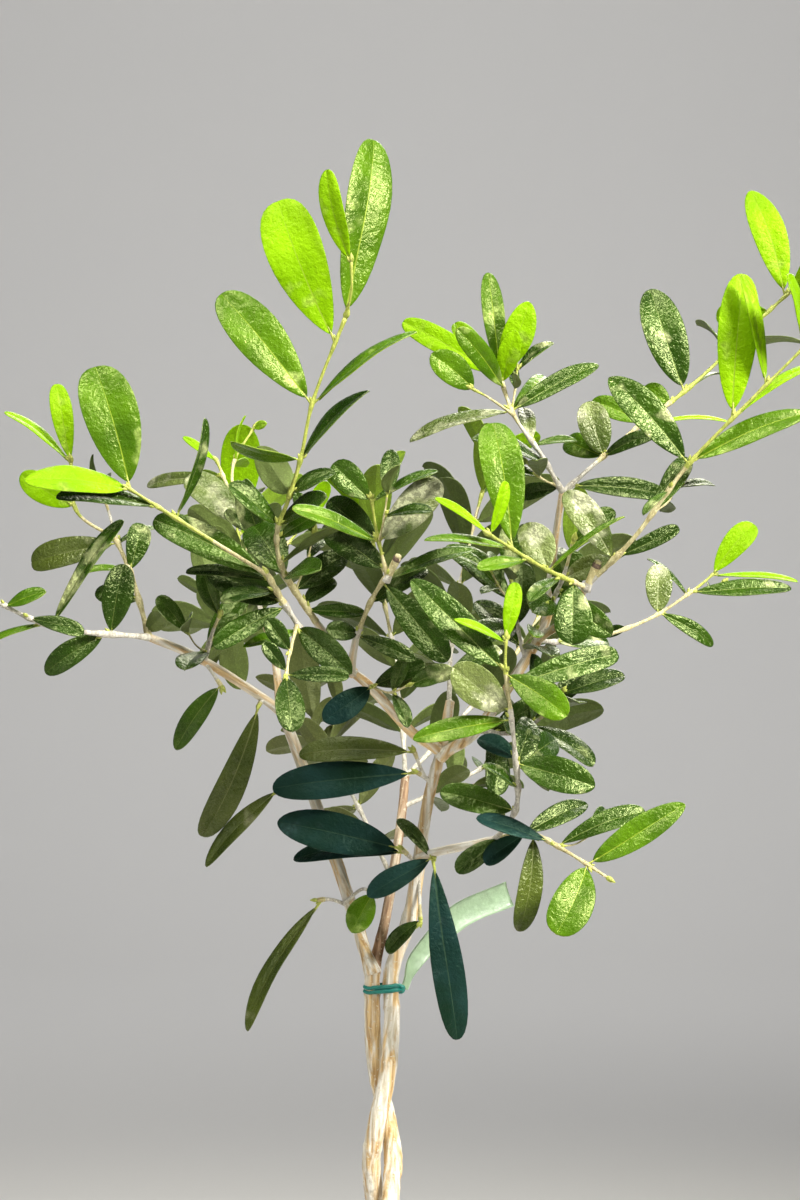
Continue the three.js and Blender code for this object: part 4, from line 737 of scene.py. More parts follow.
stems = [make_stem(row) for row in STEMS]
limbs = {limb.name: limb for limb in stems}
for name, carrier, radius, path in BOUGHS:
    limbs[name] = limb_from(name, path, radius, [limbs[carrier]])
groups = []
for mass in MASSES:
    shoots = []
    for row in mass["shoots"]:
        shoots.append(limb_from(mass["name"], row["path"], row["radius"], shoots or [limbs[mass["on"]]]))
    groups.append((mass, shoots))
woody = [*limbs.values(), *(shoot for _, shoots in groups for shoot in shoots)]
placed = []
for mass, shoots in groups:
    for row, shoot in zip(mass["shoots"], shoots):
        shoot.leaves = place_seen(row, shoot, placed, woody)
for mass, shoots in groups:
    random = random_from(mass["seed"])
    for row, shoot in zip(mass["shoots"], shoots):
        shoot.leaves += grow_leaves(row, shoot, random, placed, woody)


# Materials, and the sockets of a node that mixes two colours
PAINTS = {}
MIX_SHARE, MIX_FIRST, MIX_SECOND, MIX_RESULT = 0, 6, 7, 2


def wire(material, kind, **values):
    node = material.node_tree.nodes.new(kind)
    for name, value in values.items():
        if name in node.inputs:
            node.inputs[name].default_value = value
        else:
            setattr(node, name, value)
    return node


class Paint:
    def __init__(self, name, roughness, gloss, tint=(1, 1, 1)):
        self.material = PAINTS[name] = bpy.data.materials.new(name)
        self.material.use_nodes = True
        tree = self.material.node_tree
        self.link = tree.links.new
        self.shader = tree.nodes["Principled BSDF"]
        self.shader.inputs["Roughness"].default_value = roughness
        self.shader.inputs["Specular IOR Level"].default_value = gloss
        self.shader.inputs["Specular Tint"].default_value = (*tint, 1)
        self.place = wire(self.material, "ShaderNodeTexCoord").outputs["Object"]
        self.made = {}

    # Sets a socket to a colour, or links it to what gives one.
    def feed(self, socket, value):
        if isinstance(value, tuple):
            socket.default_value = (*value, 1)
        else:
            self.link(value, socket)

    # Noise as a share from 0 to 1, by the values of a row of PATTERNS.
    def noise(self, size, low, high, detail, stretch=None):
        place = self.place
        if stretch:
            mapping = wire(self.material, "ShaderNodeMapping", Scale=stretch)
            self.link(place, mapping.inputs["Vector"])
            place = mapping.outputs["Vector"]
        texture = wire(self.material, "ShaderNodeTexNoise", Scale=1 / (size * MM), Detail=detail)
        self.link(place, texture.inputs["Vector"])
        levels = wire(self.material, "ShaderNodeMapRange", **{"From Min": low, "From Max": high})
        self.link(texture.outputs["Fac"], levels.inputs["Value"])
        return levels.outputs["Result"]

    # The share that a pattern gives, which is made once for each material.
    def share(self, pattern):
        if pattern not in self.made:
            self.made[pattern] = self.noise(*PATTERNS[pattern])
        return self.made[pattern]

    # A mix of two colours by a pattern, or by a share that is made already.
    def blend(self, share, first, second):
        node = wire(self.material, "ShaderNodeMix", data_type="RGBA")
        self.link(self.share(share) if isinstance(share, str) else share, node.inputs[MIX_SHARE])
        self.feed(node.inputs[MIX_FIRST], first)
        self.feed(node.inputs[MIX_SECOND], second)
        return node.outputs[MIX_RESULT]

    def colour(self, value):
        self.feed(self.shader.inputs["Base Color"], value)

    def roughness(self, pattern, low, high):
        node = wire(self.material, "ShaderNodeMapRange", **{"To Min": low, "To Max": high})
        self.link(self.share(pattern), node.inputs["Value"])
        self.link(node.outputs["Result"], self.shader.inputs["Roughness"])

    # Relief: each pattern stands out by so many millimetres.
    def relief(self, **depths):
        normal = None
        for pattern, depth in depths.items():
            bump = wire(self.material, "ShaderNodeBump", Strength=1, Distance=depth * MM)
            self.link(self.share(pattern), bump.inputs["Height"])
            if normal:
                self.link(normal, bump.inputs["Normal"])
            normal = bump.outputs["Normal"]
        self.link(normal, self.shader.inputs["Normal"])


def shade(colour, share):
    return tuple(min(1, c * share) for c in colour)


# The leathery upper face of a leaf: cream-coloured patches of painted sheen, a painted highlight, which
# wrinkles break up.
def paint_leaf_upper(kind, look):
    rough, sheen, level = look["rough"], look["sheen"], look["sheen_from"]
    paint = Paint(kind + "_upper", rough, look["gloss"], look["tint"])
    base = paint.blend("leaf_cloud", shade(look["upper"], LEAF_SHADES["upper"]), look["second"])
    fine = paint.blend("leaf_grain", *(shade(sheen, share) for share in GLOSS_AND_PAINTED_SHEEN["grain"]))
    sheen = paint.blend("leaf_crinkle", shade(sheen, GLOSS_AND_PAINTED_SHEEN["crinkle"]), fine)
    # Where this pattern rises past the kind's level, the painted highlight covers the leaf's own colour
    patch = paint.noise(GLOSS_AND_PAINTED_SHEEN["size"], level, level + GLOSS_AND_PAINTED_SHEEN["edge"], GLOSS_AND_PAINTED_SHEEN["detail"])
    paint.colour(paint.blend(patch, base, sheen))
    paint.roughness("leaf_grain", rough - GLOSS_AND_PAINTED_SHEEN["smoother"], rough + GLOSS_AND_PAINTED_SHEEN["rougher"])
    paint.relief(leaf_wrinkle=look["wrinkle"], leaf_crinkle=look["wrinkle"], leaf_dent=0.3, leaf_grain=0.03)


def paint_leaf_rib(kind, look):
    paint = Paint(kind + "_rib", 0.42, look["gloss"], look["tint"])
    paint.colour(paint.blend("rib_cloud", *(shade(look["rib"], share) for share in LEAF_SHADES["rib"])))
    paint.relief(rib_grain=0.03)


def paint_leaf_under(kind, look):
    paint = Paint(kind + "_under", 0.48, look["gloss"] * LEAF_SHADES["under_gloss"], look["tint"])
    dim, pale = (shade(look["under"], share) for share in LEAF_SHADES["under"])
    paint.colour(paint.blend("under_scale", paint.blend("under_cloud", look["under"], dim), pale))
    paint.relief(under_dent=0.22, under_grain=0.05)


# Bark: the piece's own Z runs along its limb, and the streaks and patches are stretched along it.
def paint_bark(name, look):
    paint = Paint(name, 0.75, 0.3)
    pale = paint.blend("bark_streak", *look["pale"])
    brown = paint.blend("bark_streak", *look["brown"])
    aged = paint.blend(paint.noise(*look["patch"]), pale, brown)
    paint.colour(paint.blend("bark_spot", aged, LENTICEL))
    paint.roughness("bark_streak", 0.62, 0.88)
    paint.relief(bark_streak=0.25, bark_grain=0.10)


def paint_twig(name, first, second, roughness):
    paint = Paint(name, roughness, 0.4)
    paint.colour(paint.blend("twig_spot", paint.blend("twig_streak", first, second), shade(second, PALER)))
    paint.relief(twig_streak=0.08, twig_grain=0.04)


def paint_clay(name):
    paint = Paint(name, 0.85, 0.25)
    base = paint.blend("clay_bloom", paint.blend("clay_cloud", *CLAY["base"]), CLAY["bloom"])
    paint.colour(paint.blend("clay_speck", base, CLAY["speck"]))
    paint.roughness("clay_wear", 0.74, 0.95)
    paint.relief(clay_dent=0.22, clay_grain=0.08)


def paint_compost(name, first, second):
    paint = Paint(name, 0.95, 0.2)
    paint.colour(paint.blend("compost_cloud", first, second))
    paint.relief(compost_dent=0.3)


def paint_tape(name, colour):
    paint = Paint(name, 0.42, 0.5)
    paint.colour(paint.blend("tape_cloud", colour, shade(colour, PALER)))
    paint.roughness("tape_wear", 0.34, 0.52)
    paint.relief(tape_dent=0.2, tape_grain=0.03)


for name, look in TWIGS.items():
    paint_twig(name, *look)
for name, look in BARKS.items():
    paint_bark(name, look)
for kind, look in KINDS.items():
    paint_leaf_upper(kind, look)
    paint_leaf_rib(kind, look)
    paint_leaf_under(kind, look)
for name, look in COMPOSTS.items():
    paint_compost(name, *look)
for name, colour in TAPES.items():
    paint_tape(name, colour)
paint_clay("clay")


# Finer twigs stand in the axils of the older leaves, with small leaves of their own, where there is room.
def grow_twiglets(mass, shoot, luck):
    made = []
    for leaf in [leaf for leaf in shoot.leaves if leaf.age >= TWIGLET["from_age"]]:
        if luck.random() > TWIGLET["share"]:
            continue
        for _ in range(TWIGLET["tries"]):
            spot = shoot.at(leaf.where)
            away = unit(leaf.along - spot["along"] * (leaf.along @ spot["along"]))
            side = np.cross(spot["along"], away) * luck.uniform(-TWIGLET["aside"], TWIGLET["aside"])
            lean = luck.uniform(*TWIGLET["lean"])
            way = unit(spot["along"] * math.cos(lean) + unit(away + side) * math.sin(lean))
            length = luck.uniform(*TWIGLET["length"])
            start = spot["p"] + way * spot["radius"] * TWIGLET["sunk"]
            middle = start + way * length * 0.5
            tip = middle + unit(way + UP * TWIGLET["lift"]) * length * 0.5
            curve = Curve([start, middle, tip])
            twig = Limb(mass["name"], curve, lambda t: mix(*TWIGLET["radius"], np.asarray(t)))
            beyond = twig.curve.point(np.linspace(TWIGLET["clear_from"], 1, 9))
            if any(other.holds(beyond) for other in placed):
                continue
            pairs = 2 if length > TWIGLET["two_pairs"] else 1
            leaf_length = luck.uniform(*TWIGLET["leaf"])
            rule = dict(pairs=pairs, leaf=leaf_length, roll=luck.uniform(0, 180), **TWIGLET["rule"])
            twig.leaves = grow_leaves(rule, twig, luck.random, placed, [*woody, twig])
            if twig.leaves:
                woody.append(twig)
                made.append(twig)
                break
    return made


for mass, shoots in groups:
    luck = np.random.default_rng(SEEDS["twiglets"] + mass["seed"])
    for shoot in shoots:
        shoot.twiglets = grow_twiglets(mass, shoot, luck)


def add_object(name, data):
    thing = bpy.data.objects.new(name, data)
    bpy.context.scene.collection.objects.link(thing)
    return thing


# One mesh, put together from many small parts.
class Build:
    def __init__(self):
        self.points, self.faces, self.paints, self.count = [], [], [], 0

    def add(self, points, faces, paints=0):
        faces = np.asarray(faces)
        self.points.append(np.asarray(points, float).reshape(-1, 3))
        self.faces.append(faces + self.count)
        self.paints.append(np.broadcast_to(paints, len(faces)))
        self.count += len(self.points[-1])

    # Closes both ends of the tube that was added last: its two end points come after its rings.
    def close(self, sides, first_paint, last_paint):
        count = len(self.points[-1]) - 2
        j = np.arange(sides)
        after = (j + 1) % sides
        last = count - sides
        for corners, paint in (((j, np.full(sides, count), after), first_paint),
                               ((last + j, last + after, np.full(sides, count + 1)), last_paint)):
            self.faces.append(np.stack(corners, -1) + self.count - count - 2)
            self.paints.append(np.full(sides, paint))

    # The piece's own Z runs along the given direction, and so do the stripes of its bark.
    def piece(self, name, paints, slot, replaced, along=(0, 0, 1)):
        mesh = bpy.data.meshes.new(name)
        turn = Vector((0, 0, 1)).rotation_difference(Vector(along))
        points = np.concatenate(self.points) * MM @ np.array(turn.to_matrix())
        sizes = np.concatenate([np.full(len(f), f.shape[1]) for f in self.faces])
        corners = np.concatenate([f.ravel() for f in self.faces])
        mesh.vertices.add(len(points))
        mesh.vertices.foreach_set("co", points.astype(np.float32).ravel())
        mesh.loops.add(len(corners))
        mesh.loops.foreach_set("vertex_index", corners.astype(np.int32))
        mesh.polygons.add(len(sizes))
        mesh.polygons.foreach_set("loop_start", (np.cumsum(sizes) - sizes).astype(np.int32))
        mesh.polygons.foreach_set("material_index", np.concatenate(self.paints).astype(np.int32))
        mesh.polygons.foreach_set("use_smooth", np.full(len(sizes), True))
        mesh.update(calc_edges=True)
        mesh.validate()
        for paint in paints:
            mesh.materials.append(PAINTS[paint])
        thing = add_object(name, mesh)
        thing.rotation_mode = "QUATERNION"
        thing.rotation_quaternion = turn
        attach(thing, "root")
        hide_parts(*replaced)


def grid_faces(rows, columns, closed):
    i, j = np.meshgrid(np.arange(rows - 1), np.arange(columns if closed else columns - 1), indexing="ij")
    a, b = i * columns + j, i * columns + (j + 1) % columns
    return np.stack([a, b, b + columns, a + columns], -1).reshape(-1, 4)


# The points along the edge of a grid in order, and for each of them the next one.
def grid_edge(rows, columns):
    n = rows * columns
    edge = np.concatenate([np.arange(0, n, columns), n - columns + np.arange(1, columns),
                           np.arange(n - 1, -1, -columns)[1:], np.arange(columns - 2, 0, -1)])
    return edge, np.roll(edge, -1)


def angles(sides):
    return np.arange(sides) * 2 * math.pi / sides


def tube_steps(length, step):
    return np.linspace(0, 1, max(LEAST_RINGS, int(length / step)))


# A tube through rings, with domed ends. Paints is one skin, or one for each step along it.
def add_tube(build, curve, ts, radii, sides, paints=0):
    along = curve.direction(ts)
    side = unit(np.cross(AWAY, along))
    back = np.cross(along, side)
    angle = angles(sides)
    radii = np.asarray(radii, float)
    radii = radii if radii.ndim == 2 else np.repeat(radii[:, None], sides, 1)
    ring = np.cos(angle)[None, :, None] * side[:, None] + np.sin(angle)[None, :, None] * back[:, None]
    points = curve.point(ts)[:, None] + ring * radii[..., None]
    ends = [curve.point(ts[e]) + along[e] * radii[e].mean() * 0.5 * way for e, way in ((0, -1), (-1, 1))]
    build.add(np.concatenate([points.reshape(-1, 3), ends]), grid_faces(len(ts), sides, True),
              np.repeat(paints, sides) if np.ndim(paints) else paints)
    build.close(sides, np.ravel(paints)[0], np.ravel(paints)[-1])


# Smooth noise over a limb's skin, from -1 to 1: x is counted in cells along it, y in cells round it.
def skin_noise(x, y, cells, seed):
    table = np.random.default_rng(seed).uniform(-1, 1, (int(x.max()) + 3, cells))
    i, j = np.floor(x).astype(int), np.floor(y).astype(int)
    a, b = x - i, y - j
    a, b = a * a * (3 - 2 * a), b * b * (3 - 2 * b)
    low = mix(table[i, j % cells], table[i, (j + 1) % cells], b)
    high = mix(table[i + 1, j % cells], table[i + 1, (j + 1) % cells], b)
    return mix(low, high, a)


# Bark: soft lumps, long fissures, a fine grain, and rings where leaf pairs once stood.
def bark_radii(limb, ts, seed):
    s = ts[:, None] * limb.length
    turn = np.arange(BARK["sides"])[None, :] / BARK["sides"]
    radius = limb.radius_at(ts)[:, None]
    x, y = np.broadcast_arrays(s, turn)
    layers = []
    for number, name in enumerate(("lumps", "fissures", "grain")):
        _, length, around = BARK[name]
        layers.append(skin_noise(x / length, y * around, around, seed + number))
    relief = BARK["lumps"][0] * layers[0]
    relief = relief - BARK["fissures"][0] * np.maximum(0, layers[1]) ** BARK["sharp"]
    relief = relief + BARK["grain"][0] * layers[2]
    luck = np.random.default_rng(seed + len(layers))
    at = luck.uniform(*BARK["first_ring"])
    while at < limb.length - BARK["last_ring"]:
        facing = np.cos(2 * math.pi * (turn - luck.uniform(0, 1))) ** 2
        pair = BARK["facing"][0] + BARK["facing"][1] * facing
        relief = relief + BARK["rings"] * pair * np.exp(-(((s - at) / BARK["ring_width"]) ** 2))
        at += luck.uniform(*BARK["spacing"])
    return radius * (1 + relief * np.minimum(1, radius / BARK["full"]))


# A bough has a collar where it leaves its stem.
for number, limb in enumerate(limbs.values()):
    collar = 0 if limb.name.startswith("trunk") else BARK["collar"]
    ts = tube_steps(limb.length, BARK["step"])
    radii = bark_radii(limb, ts, SEEDS["bark"] + SEEDS["next_bark"] * number) * BARK["slim"]
    radii *= 1 + collar * np.exp(-(ts * limb.length / BARK["collar_length"]) ** 2)[:, None]
    build = Build()
    add_tube(build, limb.curve, ts, radii, BARK["sides"])
    ends = limb.curve.point(np.array([0.0, 1.0]))
    # The back bough gets the darker copy of the bark: painted shade
    paint = "bark_inner" if limb.name == "bough_back" else "bark"
    build.piece(limb.name + "_bark", [paint], "bark", [limb.name], ends[1] - ends[0])


# A leaf in the round: an upper face, an under face, a midrib and a pale rim.
def add_leaf(build, leaf, luck, fold_share):
    rows = BLADE["long_rows"] if leaf.length > BLADE["long"] else BLADE["rows"]
    s = 0.5 - 0.5 * np.cos(np.linspace(BLADE["first"], 1, rows) * math.pi)
    s = np.minimum(s, BLADE["last"])
    u = LEAF["petiole"] + (1 - LEAF["petiole"]) * s
    foot, point = luck.uniform(*BLADE["foot"]), mix(*BLADE["point"], luck.random() ** BLADE["blunt"])
    wide = leaf.width / 2 * BLADE["narrow"]
    half = np.maximum(outline(wide, s, foot, point), BLADE["tip"])
    rim = np.minimum(BLADE["rim"], BLADE["rim_share"] * half)
    rib = np.minimum(BLADE["rib"] * leaf.length * (BLADE["rib_fade"] - s), BLADE["rib_share"] * half)
    outer, inner = (share * half for share in BLADE["strips"])
    x = np.stack([-half, -(half - rim), -outer, -inner, -rib, rib, inner, outer, half - rim, half], -1)
    half = half[:, None]
    v = x / half
    columns = x.shape[1]
    swell = BLADE["swell"] * np.sqrt(v**2 + BLADE["soft"]) - (BLADE["swell"] - 1) * v**2
    bend = leaf.length * luck.uniform(-BLADE["bend"], BLADE["bend"])
    turns = u[:, None] * luck.uniform(*BLADE["waves"]) + luck.random()
    wave = BLADE["wave"] * leaf.width * np.sin(turns * 2 * math.pi)
    nod = BLADE["nod"] * np.maximum(0, (u - BLADE["nod_from"]) / (1 - BLADE["nod_from"])) ** 2
    rise = -leaf.length * (LEAF["droop"] * u**2 + nod)[:, None] + LEAF["fold"] * fold_share * swell * half
    rise = rise + wave * v * np.abs(v) - BLADE["curl"] * half * np.abs(v) ** BLADE["curl_power"]
    in_rib = (np.abs(v) < BLADE["groove_reach"]) * (np.abs(x) <= rib[:, None])
    rise = rise - BLADE["groove"] * in_rib
    upper = leaf.put((u * leaf.length)[:, None], x + bend * np.sin(math.pi * u)[:, None], rise)
    depth = np.full((rows, columns), BLADE["thickness"])
    depth[:, [0, -1]] *= BLADE["edge"]
    depth[:, RIB_COLUMNS] += BLADE["keel"] * leaf.length * (BLADE["keel_fade"] - s)[:, None]
    under = upper - leaf.face * depth[..., None]
    faces = grid_faces(rows, columns, False)
    strip = np.tile(np.arange(columns - 1), rows - 1)
    n = rows * columns
    edge, after = grid_edge(rows, columns)
    rims = np.stack([edge, after, after + n, edge + n], -1)
    upper_paints = np.where(strip == RIB_COLUMNS[0], RIB, UPPER)
    paints = [upper_paints, np.full(len(strip), UNDER), np.full(len(rims), RIB)]
    build.add(np.concatenate([upper.reshape(-1, 3), under.reshape(-1, 3)]),
              np.concatenate([faces, faces[:, ::-1] + n, rims]), np.concatenate(paints))


# A leaf's stalk, from inside the twig to the start of the midrib.
def add_stalk(build, leaf, paint):
    u, sink = (np.linspace(0, STALK[end], STALK["spots"]) for end in ("until", "sink"))
    curve = Curve(leaf.at(u, 0 * u) - leaf.face * sink[:, None])
    ts = np.linspace(0, 1, STALK["rings"])
    radii = mix(STALK["foot"], STALK["end"], ts) * leaf.length + STALK["least"]
    add_tube(build, curve, ts, radii, STALK["sides"], paint)


# A small bud, as in the axils and at the tips.
def add_bud(build, p, along, length, paint):
    curve = Curve([p, p + along * length / 2, p + along * length])
    radii = BUD["girth"] * length * np.array(BUD["profile"])
    add_tube(build, curve, np.linspace(0, 1, len(radii)), radii, BUD["sides"], paint)


# A pruned end: bark up to a flat cut, which has a paler wood and a dark pith.
def add_stub(build, start, end, radius):
    curve = Curve([start, (start + end) / 2, end])
    radii = radius * np.array(STUB["profile"])
    add_tube(build, curve, np.linspace(0, 1, len(radii)), radii, STUB["sides"], np.array(STUB["paints"]))
    cut = unit(end - start)
    for reach, out, paint in STUB["cut"]:
        face = Curve([end, end + cut * out * radius / 2, end + cut * out * radius])
        radii = reach * radius * np.array(STUB["disc"])
        add_tube(build, face, np.linspace(0, 1, len(radii)), radii, STUB["sides"], paint)


def kind_of(mass, young, leaf, luck):
    draw = luck.random()
    if leaf.kind:
        return leaf.kind
    # A mass's shade sets the kind of all its grown leaves: blue and dark below the crown are painted shade,
    # and the back masses take olive and mature in place of lime
    if "shade" in mass:
        return mass["shade"]
    if leaf.age < young:
        return "lime" if draw < KIND_SHARES["lime"] else "bright"
    if leaf.age == young and young:
        return "bright" if draw < KIND_SHARES["bright"] else "mature"
    return "mature" if draw < KIND_SHARES["mature"] else "dark"


# A shoot or a finer twig: thicker at its pairs of leaves, and from grey to tan to green along it.
def add_twig(build, limb, skin, seed):
    ts = tube_steps(limb.length, TWIG_SKIN["step"])
    nodes = sorted({leaf.where for leaf in limb.leaves})
    away = np.abs(ts[:, None] - np.array([0.0, *nodes])).min(1) * limb.length / TWIG_SKIN["node"]
    radii = limb.radius_at(ts) * mix(TWIG_SKIN["between"], TWIG_SKIN["at_node"], np.exp(-(away**2)))
    sides, cells = TWIG_SKIN["sides"], TWIG_SKIN["cells"]
    x, y = np.broadcast_arrays(ts[:, None] * limb.length / TWIG_SKIN["grain_length"],
                               np.arange(sides)[None] / sides * cells)
    grain = 1 + TWIG_SKIN["grain"] * skin_noise(x, y, cells, seed)
    tan, green = skin
    paints = np.where(ts < tan, GREY, np.where(ts < green, TAN, GREEN))[:-1]
    add_tube(build, limb.curve, ts, radii[:, None] * grain, sides, paints)


leaves = {kind: Build() for kind in KINDS}
twigs = Build()
masses_of = {kind: set() for kind in KINDS}
for mass, shoots in groups:
    luck = np.random.default_rng(SEEDS["leaves"] + mass["seed"])
    for row, shoot in zip(mass["shoots"], shoots):
        spec = {**USUAL, **row}
        older = 1 - spec["young"] / max(1, spec["pairs"])
        own_skin = spec.get("skin", (older - TWIG_SKIN["tan"], older - TWIG_SKIN["green"]))
        parts = [(shoot, own_skin, spec["young"])]
        for twig in shoot.twiglets:
            parts.append((twig, TWIGLET["skin"], int(luck.random() < TWIGLET["young"])))
        for limb, skin, young in parts:
            add_twig(twigs, limb, skin, mass["seed"])
            for leaf in limb.leaves:
                kind = kind_of(mass, young, leaf, luck)
                masses_of[kind].add(mass["name"])
                add_leaf(leaves[kind], leaf, luck, KINDS[kind]["fold"])
                add_stalk(twigs, leaf, GREEN)
                spot = limb.at(leaf.where)
                away = unit(leaf.along - spot["along"] * (leaf.along @ spot["along"]))
                start = spot["p"] + away * spot["radius"] * BUD["out"] + spot["along"] * BUD["up"]
                bud = unit(spot["along"] + away * BUD["lean"])
                add_bud(twigs, start, bud, luck.uniform(*BUD["beside"]), GREEN)
            if spec["pairs"] or spec["seen"] or limb is not shoot:
                tip = limb.at(1.0)
                add_bud(twigs, tip["p"], tip["along"], luck.uniform(*BUD["tip"]), GREEN)
for start, end, radius in STUBS:
    add_stub(twigs, np.array(start, float), np.array(end, float), radius)
twigs.piece("twigs", list(TWIGS), "foliage", [mass["name"] for mass in MASSES])
for kind, build in leaves.items():
    slot = "young_foliage" if kind in YOUNG_KINDS else "foliage"
    skins = [kind + part for part in ("_upper", "_rib", "_under")]
    build.piece("leaves_" + kind, skins, slot, sorted(masses_of[kind]))


# Points round the upright axis: a ring for each radius and height.
def lathe(r, z, angle):
    return np.stack(np.broadcast_arrays(r * np.cos(angle), r * np.sin(angle), z), -1)


# The pot: thrown clay with a rolled rim. Its inner wall is a straight cone, which the compost follows.
def inner_radius(z):
    share = (z - POT["floor"]) / (POT["height"] - POT["lip"] - POT["floor"])
    return mix(POT["base"] - POT["wall"], POT["rim"] - POT["wall"], share)


# A profile through corners of (radius, height, rounding), with arcs and even steps between them.
def rounded(corners, step):
    line = []
    for k, (r, z, rounding) in enumerate(corners):
        here = np.array([r, z], float)
        before = np.array(corners[max(0, k - 1)][:2], float)
        after = np.array(corners[min(len(corners) - 1, k + 1)][:2], float)
        if rounding:
            start, end = here + unit(before - here) * rounding, here + unit(after - here) * rounding
            t = np.linspace(0, 1, POT_SKIN["arc"])[:, None]
            line.append((1 - t) ** 2 * start + 2 * t * (1 - t) * here + t**2 * end)
        else:
            line.append(here[None])
    full = [line[0]]
    for a, b in zip(line, line[1:]):
        count = int(np.linalg.norm(b[0] - a[-1]) / step)
        full.append(a[-1] + (b[0] - a[-1]) * np.linspace(0, 1, count + 2)[1:-1, None])
        full.append(b)
    return np.concatenate(full)


# The clay strays from a true profile: fine rings left by the wheel, broad swellings and an oval.
def clay_stray(z, angle, under):
    tall, pitch = POT_SKIN["rings"]
    drift, slow = POT_SKIN["drift"]
    rings = tall * np.sin(z * pitch + drift * np.sin(z * slow)) * (z < under - POT_SKIN["plain"])
    deep, length, cells = POT_SKIN["swell"]
    x, y = np.broadcast_arrays(z / length + 2, angle / (2 * math.pi) * cells)
    oval, phase = POT_SKIN["oval"]
    return rings + deep * skin_noise(x, y, cells, POT_SKIN["seed"]) + oval * np.sin(2 * angle + phase)


def make_pot():
    under = POT["height"] - POT["rim_height"]
    centre, (inset, slope) = POT_SKIN["centre"], POT_SKIN["under_rim"]
    places = [(POT["base"], 0), (POT["neck"], under), (POT["rim"] - inset, under + slope),
              (POT["rim"], POT["height"]), (POT["rim"] - POT["wall"], POT["height"]),
              (inner_radius(POT["floor"]), POT["floor"])]
    corners = [(*place, rounding) for place, rounding in zip(places, POT_SKIN["rounding"])]
    profile = rounded([(centre, 0, 0), *corners, (centre, POT["floor"], 0)], POT_SKIN["step"])
    angle = angles(POT_SKIN["sides"])
    r, z = profile[:, :1], profile[:, 1:]
    r = r + clay_stray(z, angle[None], under) * (r > POT_SKIN["still"])
    build = Build()
    build.add(lathe(r, z, angle), grid_faces(len(profile), len(angle), True))
    build.piece("pot_clay", ["clay"], "clay", ["pot"])


def soil_height(r, edge):
    return SOIL["level"] - SOIL["fall"] * np.clip((r - SOIL["flat"]) / (edge - SOIL["flat"]), 0, 1)


def make_soil():
    edge = inner_radius(SOIL["level"]) - SOIL["gap"]
    angle = angles(SOIL_SKIN["sides"])
    r = np.linspace(POT_SKIN["centre"], edge, SOIL_SKIN["rows"])[:, None]
    across, turn = np.broadcast_arrays(r, angle[None] / (2 * math.pi))
    height = soil_height(r, edge)
    for tall, length, cells, seed in SOIL_SKIN["layers"]:
        height = height + tall * skin_noise(across / length, turn * cells, cells, seed)
    points = lathe(r, height - SOIL_SKIN["low"], angle)
    build = Build()
    build.add(points, grid_faces(len(r), len(angle), True), SOIL_PAINT)
    luck = np.random.default_rng(SOIL_SKIN["seed"])
    far = edge - CRUMBS["inset"]
    for _ in range(CRUMBS["count"]):
        reach, where = far * math.sqrt(luck.random()), luck.uniform(0, 2 * math.pi)
        if reach < CRUMBS["stems"]:
            continue
        size = luck.uniform(*CRUMBS["size"]) * (1 if luck.random() < CRUMBS["small"] else CRUMBS["large"])
        z = soil_height(reach, edge) - CRUMBS["sunk"]
        paint = GRIT if luck.random() < CRUMBS["pale"] else CHIP
        add_crumb(build, [reach * math.cos(where), reach * math.sin(where), z], size, luck, paint)
    build.piece("compost_crumbs", list(COMPOSTS), "compost", ["soil"])


# A crumb of bark or grit: a squashed, dented ball.
def add_crumb(build, centre, size, luck, paint):
    rows, sides = CRUMBS["rows"], CRUMBS["sides"]
    lat = np.linspace(-CRUMBS["top"], CRUMBS["top"], rows)[:, None]
    r = 1 + luck.uniform(-CRUMBS["dent"], CRUMBS["dent"], (rows, sides))
    ball = lathe(r * np.cos(lat), r * np.sin(lat), angles(sides))
    ball = ball * (size * np.array([1, luck.uniform(*CRUMBS["wide"]), luck.uniform(*CRUMBS["tall"])]))
    a, b = luck.uniform(0, 2 * math.pi), luck.uniform(-CRUMBS["tilt"], CRUMBS["tilt"])
    spin = np.array([[math.cos(a), -math.sin(a), 0], [math.sin(a), math.cos(a), 0], [0, 0, 1]])
    tilt = np.array([[1, 0, 0], [0, math.cos(b), -math.sin(b)], [0, math.sin(b), math.cos(b)]])
    points = ball.reshape(-1, 3) @ (tilt @ spin).T + centre
    poles = [points[:sides].mean(0), points[-sides:].mean(0)]
    build.add(np.concatenate([points, poles]), grid_faces(rows, sides, True), paint)
    build.close(sides, paint, paint)


# The tie: a band of two strands round both stems, a knot, and a loose end that widens and curls.
def make_tie():
    apart = stem_radius(TIE["height"]) + TRUNK["apart"] / 2
    inner = stem_radius(TIE["height"]) * BARK["slim"] + TIE["hug"]
    build = Build()
    quarter = np.linspace(-math.pi / 2, math.pi / 2, BAND["turn"])
    lean = np.stack([np.cos(quarter), np.sin(quarter)], -1)
    lean = np.concatenate([lean, -lean])
    centre = np.repeat([[apart, 0.0], [-apart, 0.0]], len(quarter), 0)
    v = np.linspace(-1, 1, BAND["rows"])
    outer = inner + BAND["outside"] + TIE["strand"] * np.sqrt(np.abs(np.sin(math.pi * v)))
    loops = [*zip(outer, v), *((inner + BAND["inside"], level) for level in v[::-1])]
    count = len(lean)
    deep, waves = BAND["sag"]
    sag = deep * np.sin(np.arange(count) / count * waves * math.pi)
    points = []
    for reach, level in loops:
        xy = centre + lean * reach
        z = TIE["height"] + level * TIE["width"] / 2 + sag + TIE["tilt"] * xy[:, 0]
        points.append(np.column_stack([xy, z]))
    faces = grid_faces(len(loops) + 1, count, True) % (len(loops) * count)
    build.add(np.concatenate(points), faces[:, ::-1], TEAL)
    add_knot(build, np.array([apart + inner + TIE["strand"] / 2, 0, TIE["height"]]))
    add_tail(build)
    build.piece("tie_tape", list(TAPES), "tie", ["tie"])


